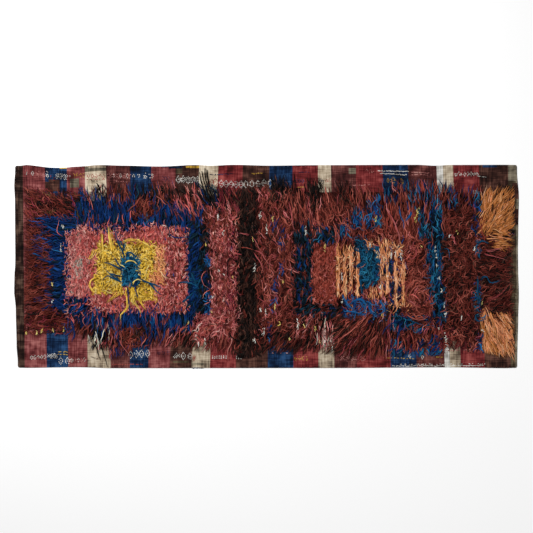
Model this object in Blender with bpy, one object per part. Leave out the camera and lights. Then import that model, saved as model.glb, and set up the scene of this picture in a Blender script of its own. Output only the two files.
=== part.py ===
"""Tulu rug: a flat striped ground cloth that carries fields of long tied-in locks.

The rug lies face up on the floor. X runs along its length, Y across it, and Z is up.
The origin is on the floor under the middle of the cloth. Lengths are in metres.
"""
import math
import random
from collections import namedtuple

import bmesh
import bpy
from mathutils import Vector, noise

# Driving dimensions
RUG_LENGTH = 3.028
RUG_WIDTH = 1.220
CLOTH_THICKNESS = 0.003
REST_GAP = 0.0003
FIELD_GAP = 0.0008
EDGE_STEP = 0.040
CELL = 0.038

# How far past its border a field looks for a neighbour
LOOK_OUT = CELL / 4

# Shape of the pile: how its rims fall, how lumpy it is and how far its fields bow
RIM_LOFT = 0.010
SEAM_SHARE = 0.68
LUMP_SHARE = 0.42
LUMP_LENGTH = 0.085
COARSE_SHARE = 1.5
FINE_SHARE = 0.7
FINE_RATIO = 2.3
FINE_LAYER = 7.0
RIM_LUMP_SHARE = 0.21
TUFT_SHIFT = 0.010
SHIFT_X_APART = 3.0
SHIFT_Y_APART = 5.0
BOW_X = 0.012
BOW_X_LENGTH = 0.95
BOW_X_PHASE = 0.5
BOW_Y = 0.008
BOW_Y_LENGTH = 1.45
BOW_Y_PHASE = 1.1

# Shape of a rim lock
SHORTEST_SHARE = 0.50
LOCK_CURL = 0.10
LOCK_WAVES = 1.1
SEED = 41

# How far the cloth's edge lies inside its full size, by the place along that edge
Inset = namedtuple("Inset", "along inset")
NORTH_EDGE = (
    Inset(-1.514, 0.010), Inset(-1.43, 0.000), Inset(-1.36, 0.010), Inset(-1.29, 0.018),
    Inset(-1.22, 0.018), Inset(-1.14, 0.011), Inset(-1.00, 0.001), Inset(-0.85, 0.005),
    Inset(-0.64, 0.010), Inset(-0.42, 0.001), Inset(-0.34, 0.006), Inset(-0.20, 0.000),
    Inset(0.02, 0.005), Inset(0.30, 0.002), Inset(0.90, 0.000), Inset(1.02, 0.006),
    Inset(1.10, 0.001), Inset(1.46, 0.000), Inset(1.514, 0.006),
)
SOUTH_EDGE = (
    Inset(-1.514, 0.008), Inset(-1.46, 0.002), Inset(-1.14, 0.006), Inset(-1.07, 0.005),
    Inset(-0.95, 0.000), Inset(0.40, 0.001), Inset(1.09, 0.005), Inset(1.46, 0.000),
    Inset(1.514, 0.009),
)
WEST_EDGE = (
    Inset(-0.610, 0.030), Inset(-0.57, 0.022), Inset(-0.49, 0.015), Inset(-0.25, 0.010),
    Inset(-0.15, 0.000), Inset(-0.05, 0.002), Inset(0.02, 0.007), Inset(0.40, 0.005),
    Inset(0.50, 0.000), Inset(0.57, 0.006), Inset(0.610, 0.028),
)
EAST_EDGE = (
    Inset(-0.610, 0.018), Inset(-0.57, 0.010), Inset(-0.30, 0.004), Inset(-0.18, 0.000),
    Inset(0.00, 0.005), Inset(0.10, 0.006), Inset(0.20, 0.004), Inset(0.42, 0.000),
    Inset(0.56, 0.010), Inset(0.610, 0.024),
)

# One row for each field of locks that the weaver ties in with one dyed yarn.
# loft is the pile's usual height and reach the length of its longest rim lock.
Field = namedtuple("Field", "name west east south north loft reach yarn")
FIELDS = (
    Field("pile_west_end", -1.420, -1.318, -0.417, 0.423, 0.022, 0.066, "madder"),
    Field("pile_west_head", -1.318, -1.194, 0.303, 0.435, 0.024, 0.070, "madder"),
    Field("pile_west_foot", -1.318, -1.194, -0.423, -0.273, 0.022, 0.075, "madder"),
    Field("pile_west_bar", -1.318, -1.194, -0.273, 0.303, 0.021, 0.060, "navy"),
    Field("pile_navy_head", -1.194, -0.460, 0.225, 0.417, 0.024, 0.090, "navy"),
    Field("pile_navy_foot", -1.194, -0.460, -0.417, -0.231, 0.024, 0.090, "navy"),
    Field("pile_pink_west", -1.194, -1.036, -0.231, 0.225, 0.016, 0.060, "pink"),
    Field("pile_yellow_medallion", -1.036, -0.616, -0.231, 0.225, 0.029, 0.060, "yellow"),
    Field("pile_pink_east", -0.616, -0.460, -0.231, 0.225, 0.019, 0.060, "pink"),
    Field("pile_middle_bar", -0.460, -0.328, -0.432, 0.409, 0.023, 0.085, "blue"),
    Field("pile_rose_band", -0.328, -0.154, -0.447, 0.423, 0.028, 0.085, "rose"),
    Field("pile_dark_band", -0.154, -0.040, -0.459, 0.437, 0.027, 0.080, "black_brown"),
    Field("pile_madder_band", -0.040, 0.152, -0.465, 0.445, 0.024, 0.085, "madder"),
    Field("pile_crest_west", 0.152, 0.500, 0.159, 0.455, 0.026, 0.090, "dark_madder"),
    Field("pile_crest_middle", 0.500, 0.740, 0.159, 0.459, 0.028, 0.090, "bright_blue"),
    Field("pile_crest_east", 0.740, 1.088, 0.159, 0.447, 0.026, 0.090, "dark_madder"),
    Field("pile_east_bar", 0.152, 0.272, -0.231, 0.159, 0.022, 0.060, "navy"),
    Field("pile_brick_field", 0.272, 0.428, -0.231, 0.159, 0.022, 0.060, "brick"),
    Field("pile_peach_field", 0.428, 0.542, -0.231, 0.159, 0.024, 0.060, "peach"),
    Field("pile_teal_heart", 0.542, 0.686, -0.231, 0.159, 0.028, 0.060, "teal"),
    Field("pile_orange_field", 0.686, 0.830, -0.231, 0.159, 0.025, 0.060, "orange"),
    Field("pile_madder_curls", 0.830, 0.974, -0.231, 0.159, 0.024, 0.060, "madder"),
    Field("pile_blue_bar", 0.974, 1.088, -0.231, 0.159, 0.023, 0.060, "blue"),
    Field("pile_hem_west", 0.152, 0.560, -0.474, -0.231, 0.025, 0.080, "dark_madder"),
    Field("pile_hem_east", 0.560, 1.088, -0.480, -0.231, 0.025, 0.080, "dark_madder"),
    Field("pile_east_band", 1.088, 1.286, -0.480, 0.435, 0.025, 0.085, "madder"),
    Field("pile_east_end", 1.286, 1.412, -0.285, 0.183, 0.024, 0.085, "dark_madder"),
    Field("pile_copper_head", 1.286, 1.412, 0.183, 0.441, 0.034, 0.088, "copper"),
    Field("pile_copper_foot", 1.286, 1.412, -0.490, -0.285, 0.034, 0.088, "copper"),
)

PILE_WEST = min(field.west for field in FIELDS)
PILE_EAST = max(field.east for field in FIELDS)

# Which way the rim locks lie, in degrees from square out of the rim.
# On the two long rims a positive lean is to the east, on the two ends it is to the north.
Lean = namedtuple("Lean", "along degrees")
NORTH_LEAN = (
    Lean(-1.42, -28), Lean(-1.15, -6), Lean(-0.80, 8), Lean(-0.40, -4), Lean(0.00, 3),
    Lean(0.40, -6), Lean(0.80, 10), Lean(1.20, 4), Lean(1.41, 24),
)
SOUTH_LEAN = (
    Lean(-1.42, -24), Lean(-1.10, 5), Lean(-0.60, -6), Lean(-0.25, 4), Lean(0.20, -8),
    Lean(0.60, -34), Lean(0.90, -26), Lean(1.15, -4), Lean(1.41, 26),
)
WEST_LEAN = (Lean(-0.42, -22), Lean(-0.10, 6), Lean(0.15, -5), Lean(0.42, 20))
EAST_LEAN = (Lean(-0.50, -24), Lean(-0.20, -8), Lean(0.10, 4), Lean(0.44, 24))

# A lock's form, root to tip: how far along it each section lies, and its width and height
# as shares of the root's
Section = namedtuple("Section", "along width height")
LOCK_SECTIONS = (Section(0.32, 0.56, 0.80), Section(0.70, 0.38, 0.55), Section(1.0, 0.10, 0.26))

# Colours of the yarns and the ground, as sRGB
COLOURS = {
    "ground": (0.36, 0.17, 0.15),
    "madder": (0.48, 0.18, 0.19),
    "dark_madder": (0.32, 0.13, 0.12),
    "brick": (0.43, 0.15, 0.14),
    "rose": (0.70, 0.30, 0.33),
    "pink": (0.76, 0.42, 0.40),
    "navy": (0.07, 0.12, 0.26),
    "blue": (0.10, 0.20, 0.42),
    "bright_blue": (0.12, 0.30, 0.60),
    "teal": (0.09, 0.33, 0.47),
    "yellow": (0.88, 0.70, 0.22),
    "orange": (0.80, 0.48, 0.24),
    "peach": (0.84, 0.56, 0.36),
    "copper": (0.72, 0.44, 0.24),
    "black_brown": (0.13, 0.09, 0.09),
}
WOOL_ROUGHNESS = 0.85


def smooth_read(rows, along):
    """The second column of a table at a place along it, eased between its rows."""
    if along <= rows[0].along:
        return rows[0][1]
    for before, after in zip(rows, rows[1:]):
        if along <= after.along:
            share = (along - before.along) / (after.along - before.along)
            share = share * share * (3.0 - 2.0 * share)
            return before[1] + share * (after[1] - before[1])
    return rows[-1][1]


def linear(channel):
    """One sRGB channel as the linear value that a shader takes."""
    if channel <= 0.04045:
        return channel / 12.92
    return ((channel + 0.055) / 1.055) ** 2.4


def wool(name):
    """A dull woollen material in one of the named colours."""
    material = bpy.data.materials.new("wool_" + name)
    material.use_nodes = True
    shader = material.node_tree.nodes["Principled BSDF"]
    colour = tuple(linear(channel) for channel in COLOURS[name])
    shader.inputs["Base Color"].default_value = (*colour, 1.0)
    shader.inputs["Roughness"].default_value = WOOL_ROUGHNESS
    shader.inputs["Metallic"].default_value = 0.0
    return material


def add_object(name, bm, material, height):
    """Makes a finished mesh an object that stands at a height over the floor."""
    bmesh.ops.recalc_face_normals(bm, faces=bm.faces)
    mesh = bpy.data.meshes.new(name)
    bm.to_mesh(mesh)
    bm.free()
    mesh.materials.append(material)
    obj = bpy.data.objects.new(name, mesh)
    obj.location.z = height
    bpy.context.scene.collection.objects.link(obj)
    return obj


def steps(low, high, step):
    """Evenly spaced values from low to high, about a step apart."""
    count = max(1, round((high - low) / step))
    return [low + (high - low) * index / count for index in range(count + 1)]


def cloth_outline():
    """The ground cloth's edge, once round from the south-west corner, with its unevenness."""
    half_length = RUG_LENGTH / 2
    half_width = RUG_WIDTH / 2
    xs = steps(-half_length, half_length, EDGE_STEP)
    ys = steps(-half_width, half_width, EDGE_STEP)
    west = smooth_read(WEST_EDGE, -half_width)
    low, high = -half_length + west, half_length - smooth_read(EAST_EDGE, -half_width)
    south = [(x, -half_width + smooth_read(SOUTH_EDGE, x)) for x in xs if low < x < high]
    east = [(half_length - smooth_read(EAST_EDGE, y), y) for y in ys[1:-1]]
    low = -half_length + smooth_read(WEST_EDGE, half_width)
    high = half_length - smooth_read(EAST_EDGE, half_width)
    north = [(x, half_width - smooth_read(NORTH_EDGE, x)) for x in xs if low < x < high]
    west = [(-half_length + smooth_read(WEST_EDGE, y), y) for y in ys[1:-1]]
    return south + east + north[::-1] + west[::-1]


def build_ground():
    """The flatwoven cloth, one flat solid with its selvedges and cut ends in one outline."""
    bm = bmesh.new()
    ring = [bm.verts.new((x, y, 0.0)) for x, y in cloth_outline()]
    face = bm.faces.new(ring)
    upper = bmesh.ops.extrude_face_region(bm, geom=[face])
    lifted = [item for item in upper["geom"] if isinstance(item, bmesh.types.BMVert)]
    bmesh.ops.translate(bm, vec=(0.0, 0.0, CLOTH_THICKNESS), verts=lifted)
    return add_object("ground", bm, wool("ground"), 0.0)


def bowed(x, y):
    """Where a point of the weaver's straight layout lies on the slightly bowed real rug."""
    bow_x = BOW_X * math.sin(2.0 * math.pi * y / BOW_X_LENGTH + BOW_X_PHASE)
    bow_y = BOW_Y * math.sin(2.0 * math.pi * x / BOW_Y_LENGTH + BOW_Y_PHASE)
    return x + bow_x, y + bow_y


def lumps(x, y):
    """Unevenness of the pile at a place, from about -1 to 1."""
    place = Vector((x, y, 0.0)) / LUMP_LENGTH
    coarse = noise.noise(place)
    fine = noise.noise(FINE_RATIO * place + Vector((0.0, 0.0, FINE_LAYER)))
    return COARSE_SHARE * coarse + FINE_SHARE * fine


def pile_at(x, y):
    """Whether the layout has pile at a place."""
    return any(f.west < x < f.east and f.south < y < f.north for f in FIELDS)


def loft_at(field, x, y, on_rim, on_seam):
    """The pile's height at a place: low at a bare rim, dipped where two fields meet."""
    loft = field.loft * (1.0 + LUMP_SHARE * lumps(x, y))
    if on_rim:
        return RIM_LOFT * (1.0 + RIM_LUMP_SHARE * lumps(x, y))
    if on_seam:
        return SEAM_SHARE * loft
    return loft


def add_top(bm, field):
    """The lumpy top of a field, as a grid of tufts. Returns its rows of vertices."""
    xs = steps(field.west + FIELD_GAP / 2, field.east - FIELD_GAP / 2, CELL)
    ys = steps(field.south + FIELD_GAP / 2, field.north - FIELD_GAP / 2, CELL)
    rows = []
    for j, y in enumerate(ys):
        row = []
        for i, x in enumerate(xs):
            side_x = (i == len(xs) - 1) - (i == 0)
            side_y = (j == len(ys) - 1) - (j == 0)
            on_edge = side_x != 0 or side_y != 0
            on_rim = on_edge and not pile_at(x + side_x * LOOK_OUT, y + side_y * LOOK_OUT)
            shift = Vector((0.0, 0.0))
            if not on_edge:
                uneven = Vector((lumps(x, y + SHIFT_X_APART), lumps(x + SHIFT_Y_APART, y)))
                shift = uneven * TUFT_SHIFT
            place = bowed(x + shift.x, y + shift.y)
            row.append(bm.verts.new((*place, loft_at(field, x, y, on_rim, on_edge))))
        rows.append(row)
    for lower, upper in zip(rows, rows[1:]):
        for a, b, c, d in zip(lower, lower[1:], upper[1:], upper):
            bm.faces.new((a, b, c, d))
    return rows


def add_walls(bm, rows):
    """The field's sides and its flat underside. Returns the side faces."""
    ring = list(rows[0])
    ring += [row[-1] for row in rows[1:]]
    ring += rows[-1][-2::-1]
    ring += [row[0] for row in rows[-2:0:-1]]
    feet = [bm.verts.new((vert.co.x, vert.co.y, 0.0)) for vert in ring]
    walls = []
    for index, vert in enumerate(ring):
        after = (index + 1) % len(ring)
        walls.append(bm.faces.new((vert, feet[index], feet[after], ring[after])))
    bm.faces.new(feet[::-1])
    return walls


def bare_side(field, wall):
    """The unit direction out of a side face that looks on bare cloth, or None."""
    low = [vert.co for vert in wall.verts if vert.co.z == 0.0]
    along = (low[1] - low[0]).normalized()
    outward = Vector((along.y, -along.x, 0.0))
    ahead = (low[0] + low[1]) / 2 + outward * CELL
    at_west_end = outward.x < -abs(outward.y) and field.west == PILE_WEST
    at_east_end = outward.x > abs(outward.y) and field.east == PILE_EAST
    on_long_side = abs(outward.y) > abs(outward.x)
    if pile_at(ahead.x, ahead.y) or not (at_west_end or at_east_end or on_long_side):
        return None
    return outward


def lock_lean(place, outward):
    """How far a rim lock leans to its left, in radians, from the table of its rim."""
    if abs(outward.y) > abs(outward.x):
        rows = NORTH_LEAN if outward.y > 0.0 else SOUTH_LEAN
        return -math.radians(smooth_read(rows, place.x)) * math.copysign(1.0, outward.y)
    rows = EAST_LEAN if outward.x > 0.0 else WEST_LEAN
    return math.radians(smooth_read(rows, place.y)) * math.copysign(1.0, outward.x)


def grow_lock(bm, wall, outward, length, curl):
    """Draws a side face out into one tapered lock that lies level on the cloth."""
    corners = [vert.co.copy() for vert in wall.verts]
    root = sum(corners, Vector()) / len(corners)
    left = Vector((-outward.y, outward.x, 0.0))
    half_width = max(abs((corner - root).dot(left)) for corner in corners)
    height = max(corner.z for corner in corners)
    lean = math.tan(lock_lean(root, outward))
    signs = [math.copysign(1.0, (corner - root).dot(left)) for corner in corners]
    for section in LOCK_SECTIONS:
        wall = bmesh.ops.extrude_discrete_faces(bm, faces=[wall])["faces"][0]
        wave = math.sin(2.0 * math.pi * LOCK_WAVES * section.along)
        aside = section.along * lean + curl * wave
        centre = root + (outward * section.along + left * aside) * length
        for vert, corner, sign in zip(wall.verts, corners, signs):
            vert.co = centre + left * (sign * half_width * section.width)
            vert.co.z = height * section.height if corner.z > 0.0 else 0.0


def build_field(field, rng):
    """One field of pile: a lumpy slab with locks round its bare rim."""
    bm = bmesh.new()
    rows = add_top(bm, field)
    walls = add_walls(bm, rows)
    outwards = [bare_side(field, wall) for wall in walls]
    for wall, outward in zip(walls, outwards):
        if outward is not None:
            length = field.reach * rng.uniform(SHORTEST_SHARE, 1.0)
            curl = rng.uniform(-LOCK_CURL, LOCK_CURL)
            grow_lock(bm, wall, outward, length, curl)
    return add_object(field.name, bm, wool(field.yarn), CLOTH_THICKNESS + REST_GAP)


def main():
    """Clears the scene, then builds the cloth and each field of pile."""
    for obj in list(bpy.data.objects):
        bpy.data.objects.remove(obj)
    build_ground()
    rng = random.Random(SEED)
    for field in FIELDS:
        build_field(field, rng)


main()
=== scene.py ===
"""Looks of a tulu rug: a striped flatwoven wool ground under fields of long dyed mohair locks.

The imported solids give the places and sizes. The cloth here is woven in stripes between the same
edges, small figures are stitched into it, and every field of pile is made again from thousands
of single locks that lie the way the rug's own locks do.
"""
import logging
import math
from dataclasses import astuple, dataclass, field
from enum import Enum

import bpy
import numpy as np
from bpy.types import ColorRamp, Material, Node, NodeSocket, NodeTree, Object
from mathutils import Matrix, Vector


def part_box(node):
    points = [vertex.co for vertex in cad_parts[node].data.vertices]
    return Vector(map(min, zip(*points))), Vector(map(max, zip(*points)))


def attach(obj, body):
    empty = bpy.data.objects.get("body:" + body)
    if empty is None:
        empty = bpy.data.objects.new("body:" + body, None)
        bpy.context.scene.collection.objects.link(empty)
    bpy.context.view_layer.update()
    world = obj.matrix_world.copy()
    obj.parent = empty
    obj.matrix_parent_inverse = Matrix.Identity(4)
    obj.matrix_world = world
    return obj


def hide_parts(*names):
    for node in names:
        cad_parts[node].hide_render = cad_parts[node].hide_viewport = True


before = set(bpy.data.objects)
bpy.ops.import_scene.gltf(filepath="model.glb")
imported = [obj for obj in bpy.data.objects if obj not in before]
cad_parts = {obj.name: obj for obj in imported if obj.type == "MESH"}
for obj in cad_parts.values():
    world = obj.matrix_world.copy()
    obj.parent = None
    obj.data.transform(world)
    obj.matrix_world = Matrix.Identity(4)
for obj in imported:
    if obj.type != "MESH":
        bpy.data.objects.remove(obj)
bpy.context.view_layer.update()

Array = np.ndarray
LOG = logging.getLogger("tulu_rug")
SEED = 2027
CLOTH_NODE = "ground"
PILE_PREFIX = "pile_"
ATLAS_MAP = "OFBake"
STRAND_MAP = "strand"
CLOTH_LOW, CLOTH_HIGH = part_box(CLOTH_NODE)
CLOTH_TOP = float(CLOTH_HIGH[2])


def hex_to_linear(code: str) -> tuple[float, float, float, float]:
    """Turns an sRGB hex colour into the linear colour that a shader takes.

    Args:
        code: six hex digits, such as "7a3234".

    Returns:
        Red, green, blue and an alpha of 1.
    """
    srgb = np.array([int(code[i:i + 2], 16) / 255.0 for i in (0, 2, 4)])
    linear = np.where(srgb <= 0.04045, srgb / 12.92, ((srgb + 0.055) / 1.055) ** 2.4)
    return (*linear.tolist(), 1.0)


def smoothstep(low: float, high: float, value: Array) -> Array:
    """Eases from 0 at low to 1 at high with the cubic 3t squared minus 2t cubed."""
    t = np.clip((value - low) / (high - low), 0.0, 1.0)
    return t * t * (3.0 - 2.0 * t)


@dataclass(frozen=True)
class Chart:
    """The rug as its weaver counts it, in squares from the cloth's north-west corner.

    Columns run east and rows run south, and a square is as wide as one lock.
    """

    square: float = 0.006
    west: float = float(CLOTH_LOW[0]) + 0.004
    north: float = float(CLOTH_HIGH[1]) - 0.001

    def x(self, column: Array | float) -> Array | float:
        """The X of a column, in metres."""
        return self.west + self.square * column

    def y(self, row: Array | float) -> Array | float:
        """The Y of a row, in metres."""
        return self.north - self.square * row

    def places(self, squares: Array) -> Array:
        """X and Y of columns and rows that are given side by side on the last axis."""
        return np.stack((self.x(squares[..., 0]), self.y(squares[..., 1])), -1)

    def column(self, x: Array) -> Array:
        """The column at an X."""
        return (x - self.west) / self.square

    def row(self, y: Array) -> Array:
        """The row at a Y."""
        return (self.north - y) / self.square


CHART = Chart()


@dataclass(frozen=True)
class Yarn:
    """One dye bath's colours: in the shade of the pile, in the body of a lock, and at faded tips."""

    deep: str
    body: str
    pale: str

    def put_on(self, ramp: ColorRamp) -> None:
        """Spreads the three colours over a ramp, deep where it starts and pale where it ends.

        Args:
            ramp: a new ramp, with two stops.
        """
        ramp.elements.new(0.5)
        places = (0.05, 0.5, 0.95)
        for stop, place, code in zip(ramp.elements, places, (self.deep, self.body, self.pale)):
            stop.position, stop.color = place, hex_to_linear(code)


class Dye(Enum):
    """The yarns of this rug. Old mohair takes each dye unevenly, so each has three colours, and the
    deep one also stands for painted shade low in the pile.
    """

    MADDER = Yarn("2a0c09", "84382f", "cc7262")
    DEEP_MADDER = Yarn("190706", "5a2019", "a05042")
    BRICK = Yarn("44140e", "a8483a", "dc7c6c")
    CRIMSON = Yarn("300910", "7d2532", "b95860")
    ROSE = Yarn("481416", "b45153", "f2a09a")
    CORAL = Yarn("5a1b18", "e26a63", "f8bbad")
    BLUSH = Yarn("5c2a26", "dd8c84", "f8dfd4")
    NAVY = Yarn("010b1e", "052c64", "1a4f94")
    NIGHT = Yarn("010508", "08202e", "1e4c60")
    ROYAL = Yarn("041a38", "12548c", "3c8cc8")
    TEAL = Yarn("031a2a", "145c84", "3490b4")
    YELLOW = Yarn("704208", "fcd048", "fbea98")
    AMBER = Yarn("a85a30", "ffb274", "fde2b0")
    PEACH = Yarn("7a331c", "f6a06c", "f8cca6")
    COPPER = Yarn("48220c", "d28244", "f4bc84")
    BLACK = Yarn("020202", "0d0908", "3a2923")
    UMBER = Yarn("0a0504", "351d17", "6f4a3d")
    IVORY = Yarn("6c5d48", "f4eed6", "fbf9f4")
    GREY = Yarn("3a3732", "a39c8f", "e4decf")
    OLIVE = Yarn("181209", "534628", "907d57")


class Wool(Enum):
    """The flatwoven ground's wools, each with its dirt, its body and its worn threads."""

    SELVEDGE = Yarn("080504", "251511", "5e483c")
    MADDER = Yarn("3a1415", "703334", "a56662")
    CRIMSON = Yarn("330c0d", "6d2426", "a04f4a")
    RUSSET = Yarn("1e0b0a", "4c2423", "845049")
    NAVY = Yarn("030914", "091f3d", "2c4e77")
    UMBER = Yarn("100706", "38201b", "6e4a3e")
    IVORY = Yarn("54463a", "a8967f", "d8cbb4")
    WHITE = Yarn("7c7771", "d0ccc4", "f4f2ee")
    GREY = Yarn("2e2922", "6f6656", "a39882")
    OLIVE = Yarn("120e09", "3a2f22", "6c5f48")
    OCHRE = Yarn("56400f", "b48b31", "dfbe60")
    BLUSH = Yarn("60302e", "b4736d", "dfb0a6")
    BRICK = Yarn("501815", "983f38", "c46e62")


DYES = list(Dye)
WOOLS = list(Wool)


class Mix(Enum):
    """Which yarns a stretch of pile holds, each with its part."""

    WEST_END = "MADDER 2, DEEP_MADDER 9, ROSE 0.1, BLACK 0.6"
    WEST_RED = "MADDER 4, DEEP_MADDER 7, CRIMSON 3, BLACK 1.6"
    WEST_HEAD = "DEEP_MADDER 8, CRIMSON 1.4, MADDER 1, BLACK 3, OLIVE 0.9"
    WEST_FOOT = "DEEP_MADDER 8, CRIMSON 2, MADDER 1.4, BLACK 1.6"
    NAVY = "NAVY 10, NIGHT 1.5, ROYAL 0.25"
    NAVY_DEEP = "NAVY 8, NIGHT 6"
    NAVY_HEAD = "NAVY 10, NIGHT 2, DEEP_MADDER 0.4, MADDER 0.4, CORAL 0.3"
    NAVY_FOOT = "NAVY 11, NIGHT 0.4, ROYAL 1.1, MADDER 0.6, ROSE 0.6"
    NAVY_TIPS = "NAVY 9, NIGHT 1.5, DEEP_MADDER 1, BLACK 1.4, ROSE 0.2"
    NAVY_CORAL = "NAVY 7, NIGHT 1, CORAL 1.5, MADDER 1.5"
    NAVY_BRIGHT = "NAVY 7, ROYAL 3"
    NAVY_BLACK = "BLACK 5, NIGHT 3, NAVY 2, DEEP_MADDER 0.8"
    NAVY_MADDER = "NAVY 4, NIGHT 1, MADDER 4, DEEP_MADDER 3, BLACK 1"
    HEAD_TIPS = "DEEP_MADDER 8, MADDER 2, BLACK 5, NAVY 0.5, ROSE 0.5"
    FOOT_TIPS = "DEEP_MADDER 5, MADDER 5, ROSE 2, NAVY 3, BLACK 1.4"
    IVORY_TIPS = "BLACK 4, ROSE 2, NAVY 2, IVORY 1.2, DEEP_MADDER 2"
    RED_BLACK = "BLACK 5, DEEP_MADDER 3, MADDER 3, BRICK 1, NAVY 1"
    CORAL_SHADE = "CORAL 1.5, ROSE 1.5, BLACK 4, DEEP_MADDER 3.4, MADDER 2"
    CRIMSON_BLACK = "BLACK 5, CRIMSON 4, DEEP_MADDER 3, NAVY 0.6"
    RUST = "DEEP_MADDER 8, UMBER 2, BRICK 1.6, MADDER 1"
    CORAL = "CORAL 7, ROSE 4, MADDER 1, BLUSH 0.6"
    CORAL_BRIGHT = "CORAL 8, ROSE 2.5, BRICK 1"
    CORAL_NAVY = "CORAL 5, ROSE 4, MADDER 2, NAVY 6, BLUSH 0.6"
    CORAL_SPECKED = "CORAL 8, ROSE 3, MADDER 1, BLACK 1.1, NAVY 0.4, BLUSH 1"
    BLUSH = "BLUSH 5, CORAL 3, ROSE 3, GREY 0.4"
    YELLOW = "YELLOW 14, OLIVE 0.6, AMBER 0.2"
    AMBER = "AMBER 9, YELLOW 0.3, CORAL 1.2"
    TEAL = "TEAL 10, NIGHT 2, NAVY 1"
    TEAL_NAVY = "TEAL 5, NAVY 5, NIGHT 2"
    TEAL_MADDER = "TEAL 4, NAVY 2, DEEP_MADDER 5, BRICK 3, BLACK 1"
    NIGHT = "NIGHT 8, BLACK 3, NAVY 1.6, DEEP_MADDER 1.8, MADDER 1.2"
    ROSE = "ROSE 6, MADDER 5, CORAL 1.6, UMBER 0.8, BLUSH 0.3"
    ROSE_CRIMSON = "CRIMSON 5, ROSE 4, MADDER 3, CORAL 1, NAVY 0.3"
    ROSE_PALE = "ROSE 6, MADDER 3, CORAL 2, BLUSH 1.2, UMBER 0.5"
    ROSE_DEEP = "MADDER 6, ROSE 2.5, DEEP_MADDER 3, BLACK 0.8"
    DARK = "BLACK 9, UMBER 5, DEEP_MADDER 0.9"
    DARK_BROWN = "BLACK 4, UMBER 8, DEEP_MADDER 1.6"
    NIGHT_BLACK = "NIGHT 6, BLACK 6, NAVY 2, UMBER 0.4"
    DARK_MADDER = "BLACK 4, UMBER 3, DEEP_MADDER 4, MADDER 1"
    MADDER = "MADDER 7, DEEP_MADDER 4, ROSE 2, UMBER 1"
    CREST = "MADDER 7, DEEP_MADDER 6, BRICK 1.6, ROSE 1, BLACK 1.4"
    HEM = "DEEP_MADDER 6, MADDER 4, BRICK 0.9, CRIMSON 1.4, ROSE 0.4, BLACK 2"
    PALE_PATCH = "GREY 4, BLUSH 5, CORAL 1"
    MADDER_DEEP = "DEEP_MADDER 8, MADDER 3, UMBER 1.5, ROSE 0.2"
    MADDER_CURLS = "MADDER 5, BRICK 3, DEEP_MADDER 5, ROSE 0.6"
    MADDER_BLUE = "DEEP_MADDER 6, MADDER 5, TEAL 1.2, NAVY 2, ROSE 0.6"
    BRICK = "BRICK 9, MADDER 3, ROSE 0.8"
    PEACH = "PEACH 9, AMBER 2, COPPER 1"
    PEACH_DARK = "PEACH 4, BLACK 2.4, DEEP_MADDER 4, MADDER 2"
    PEACH_NAVY = "PEACH 5, NAVY 4, NIGHT 1, MADDER 3, DEEP_MADDER 1"
    ROYAL = "ROYAL 7, NAVY 3"
    PEACOCK = "ROYAL 6, TEAL 3, NAVY 2, DEEP_MADDER 1.4"
    ROYAL_MADDER = "ROYAL 1, NAVY 0.6, MADDER 5, BRICK 4, ROSE 1, AMBER 1.2"
    BLUE_BAR = "NAVY 3, TEAL 7, ROYAL 1.2, NIGHT 4, BLACK 1.6"
    COPPER = "COPPER 9, PEACH 0.9, UMBER 0.5"
    COPPER_PALE = "COPPER 4, PEACH 6, UMBER 0.3"
    EAST_END = "DEEP_MADDER 7, UMBER 3, MADDER 2, BLACK 1.2"
    WISPS = "IVORY 2, ROSE 3, BLACK 4, DEEP_MADDER 4, NAVY 1.5"
    MOTLEY = "MADDER 4, ROSE 4, DEEP_MADDER 4, BLACK 4, BLUSH 1.5"
    MOTLEY_IVORY = "BLACK 4, ROSE 3.4, DEEP_MADDER 4, IVORY 0.7, BLUSH 1"
    IVORY_LOCKS = "IVORY 2, BLUSH 3, ROSE 4, BLACK 3"

    @property
    def parts(self) -> dict[Dye, float]:
        """The yarns and their parts, in the order they are named."""
        pairs = (pair.split() for pair in self.value.split(", "))
        return {Dye[name]: float(part) for name, part in pairs}


@dataclass(frozen=True)
class LaySize:
    """How one kind of lock lies. Lengths are in metres and angles in degrees.

    Attributes:
        length: from knot to tip, along the lock.
        width: across its thick part.
        spread: how far its heading may be off the patch's flow.
        curl: how far its heading swings in its waves.
        wave: the length of one wave.
        bend: how far it may turn steadily from root to tip.
        low: its least height, as a share of the pile's.
        high: its greatest height, as a share of the pile's.
        rings: how many rings its mesh has.
        clump: the squares across a clump, whose locks lie alike.
        gather: how far a clump's tips draw together, from 0 to 1.
        stray: how far a clump is moved along its heading, in metres.
    """

    length: float
    width: float
    spread: float
    curl: float
    wave: float
    bend: float
    low: float
    high: float
    rings: int
    clump: float
    gather: float
    stray: float


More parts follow.
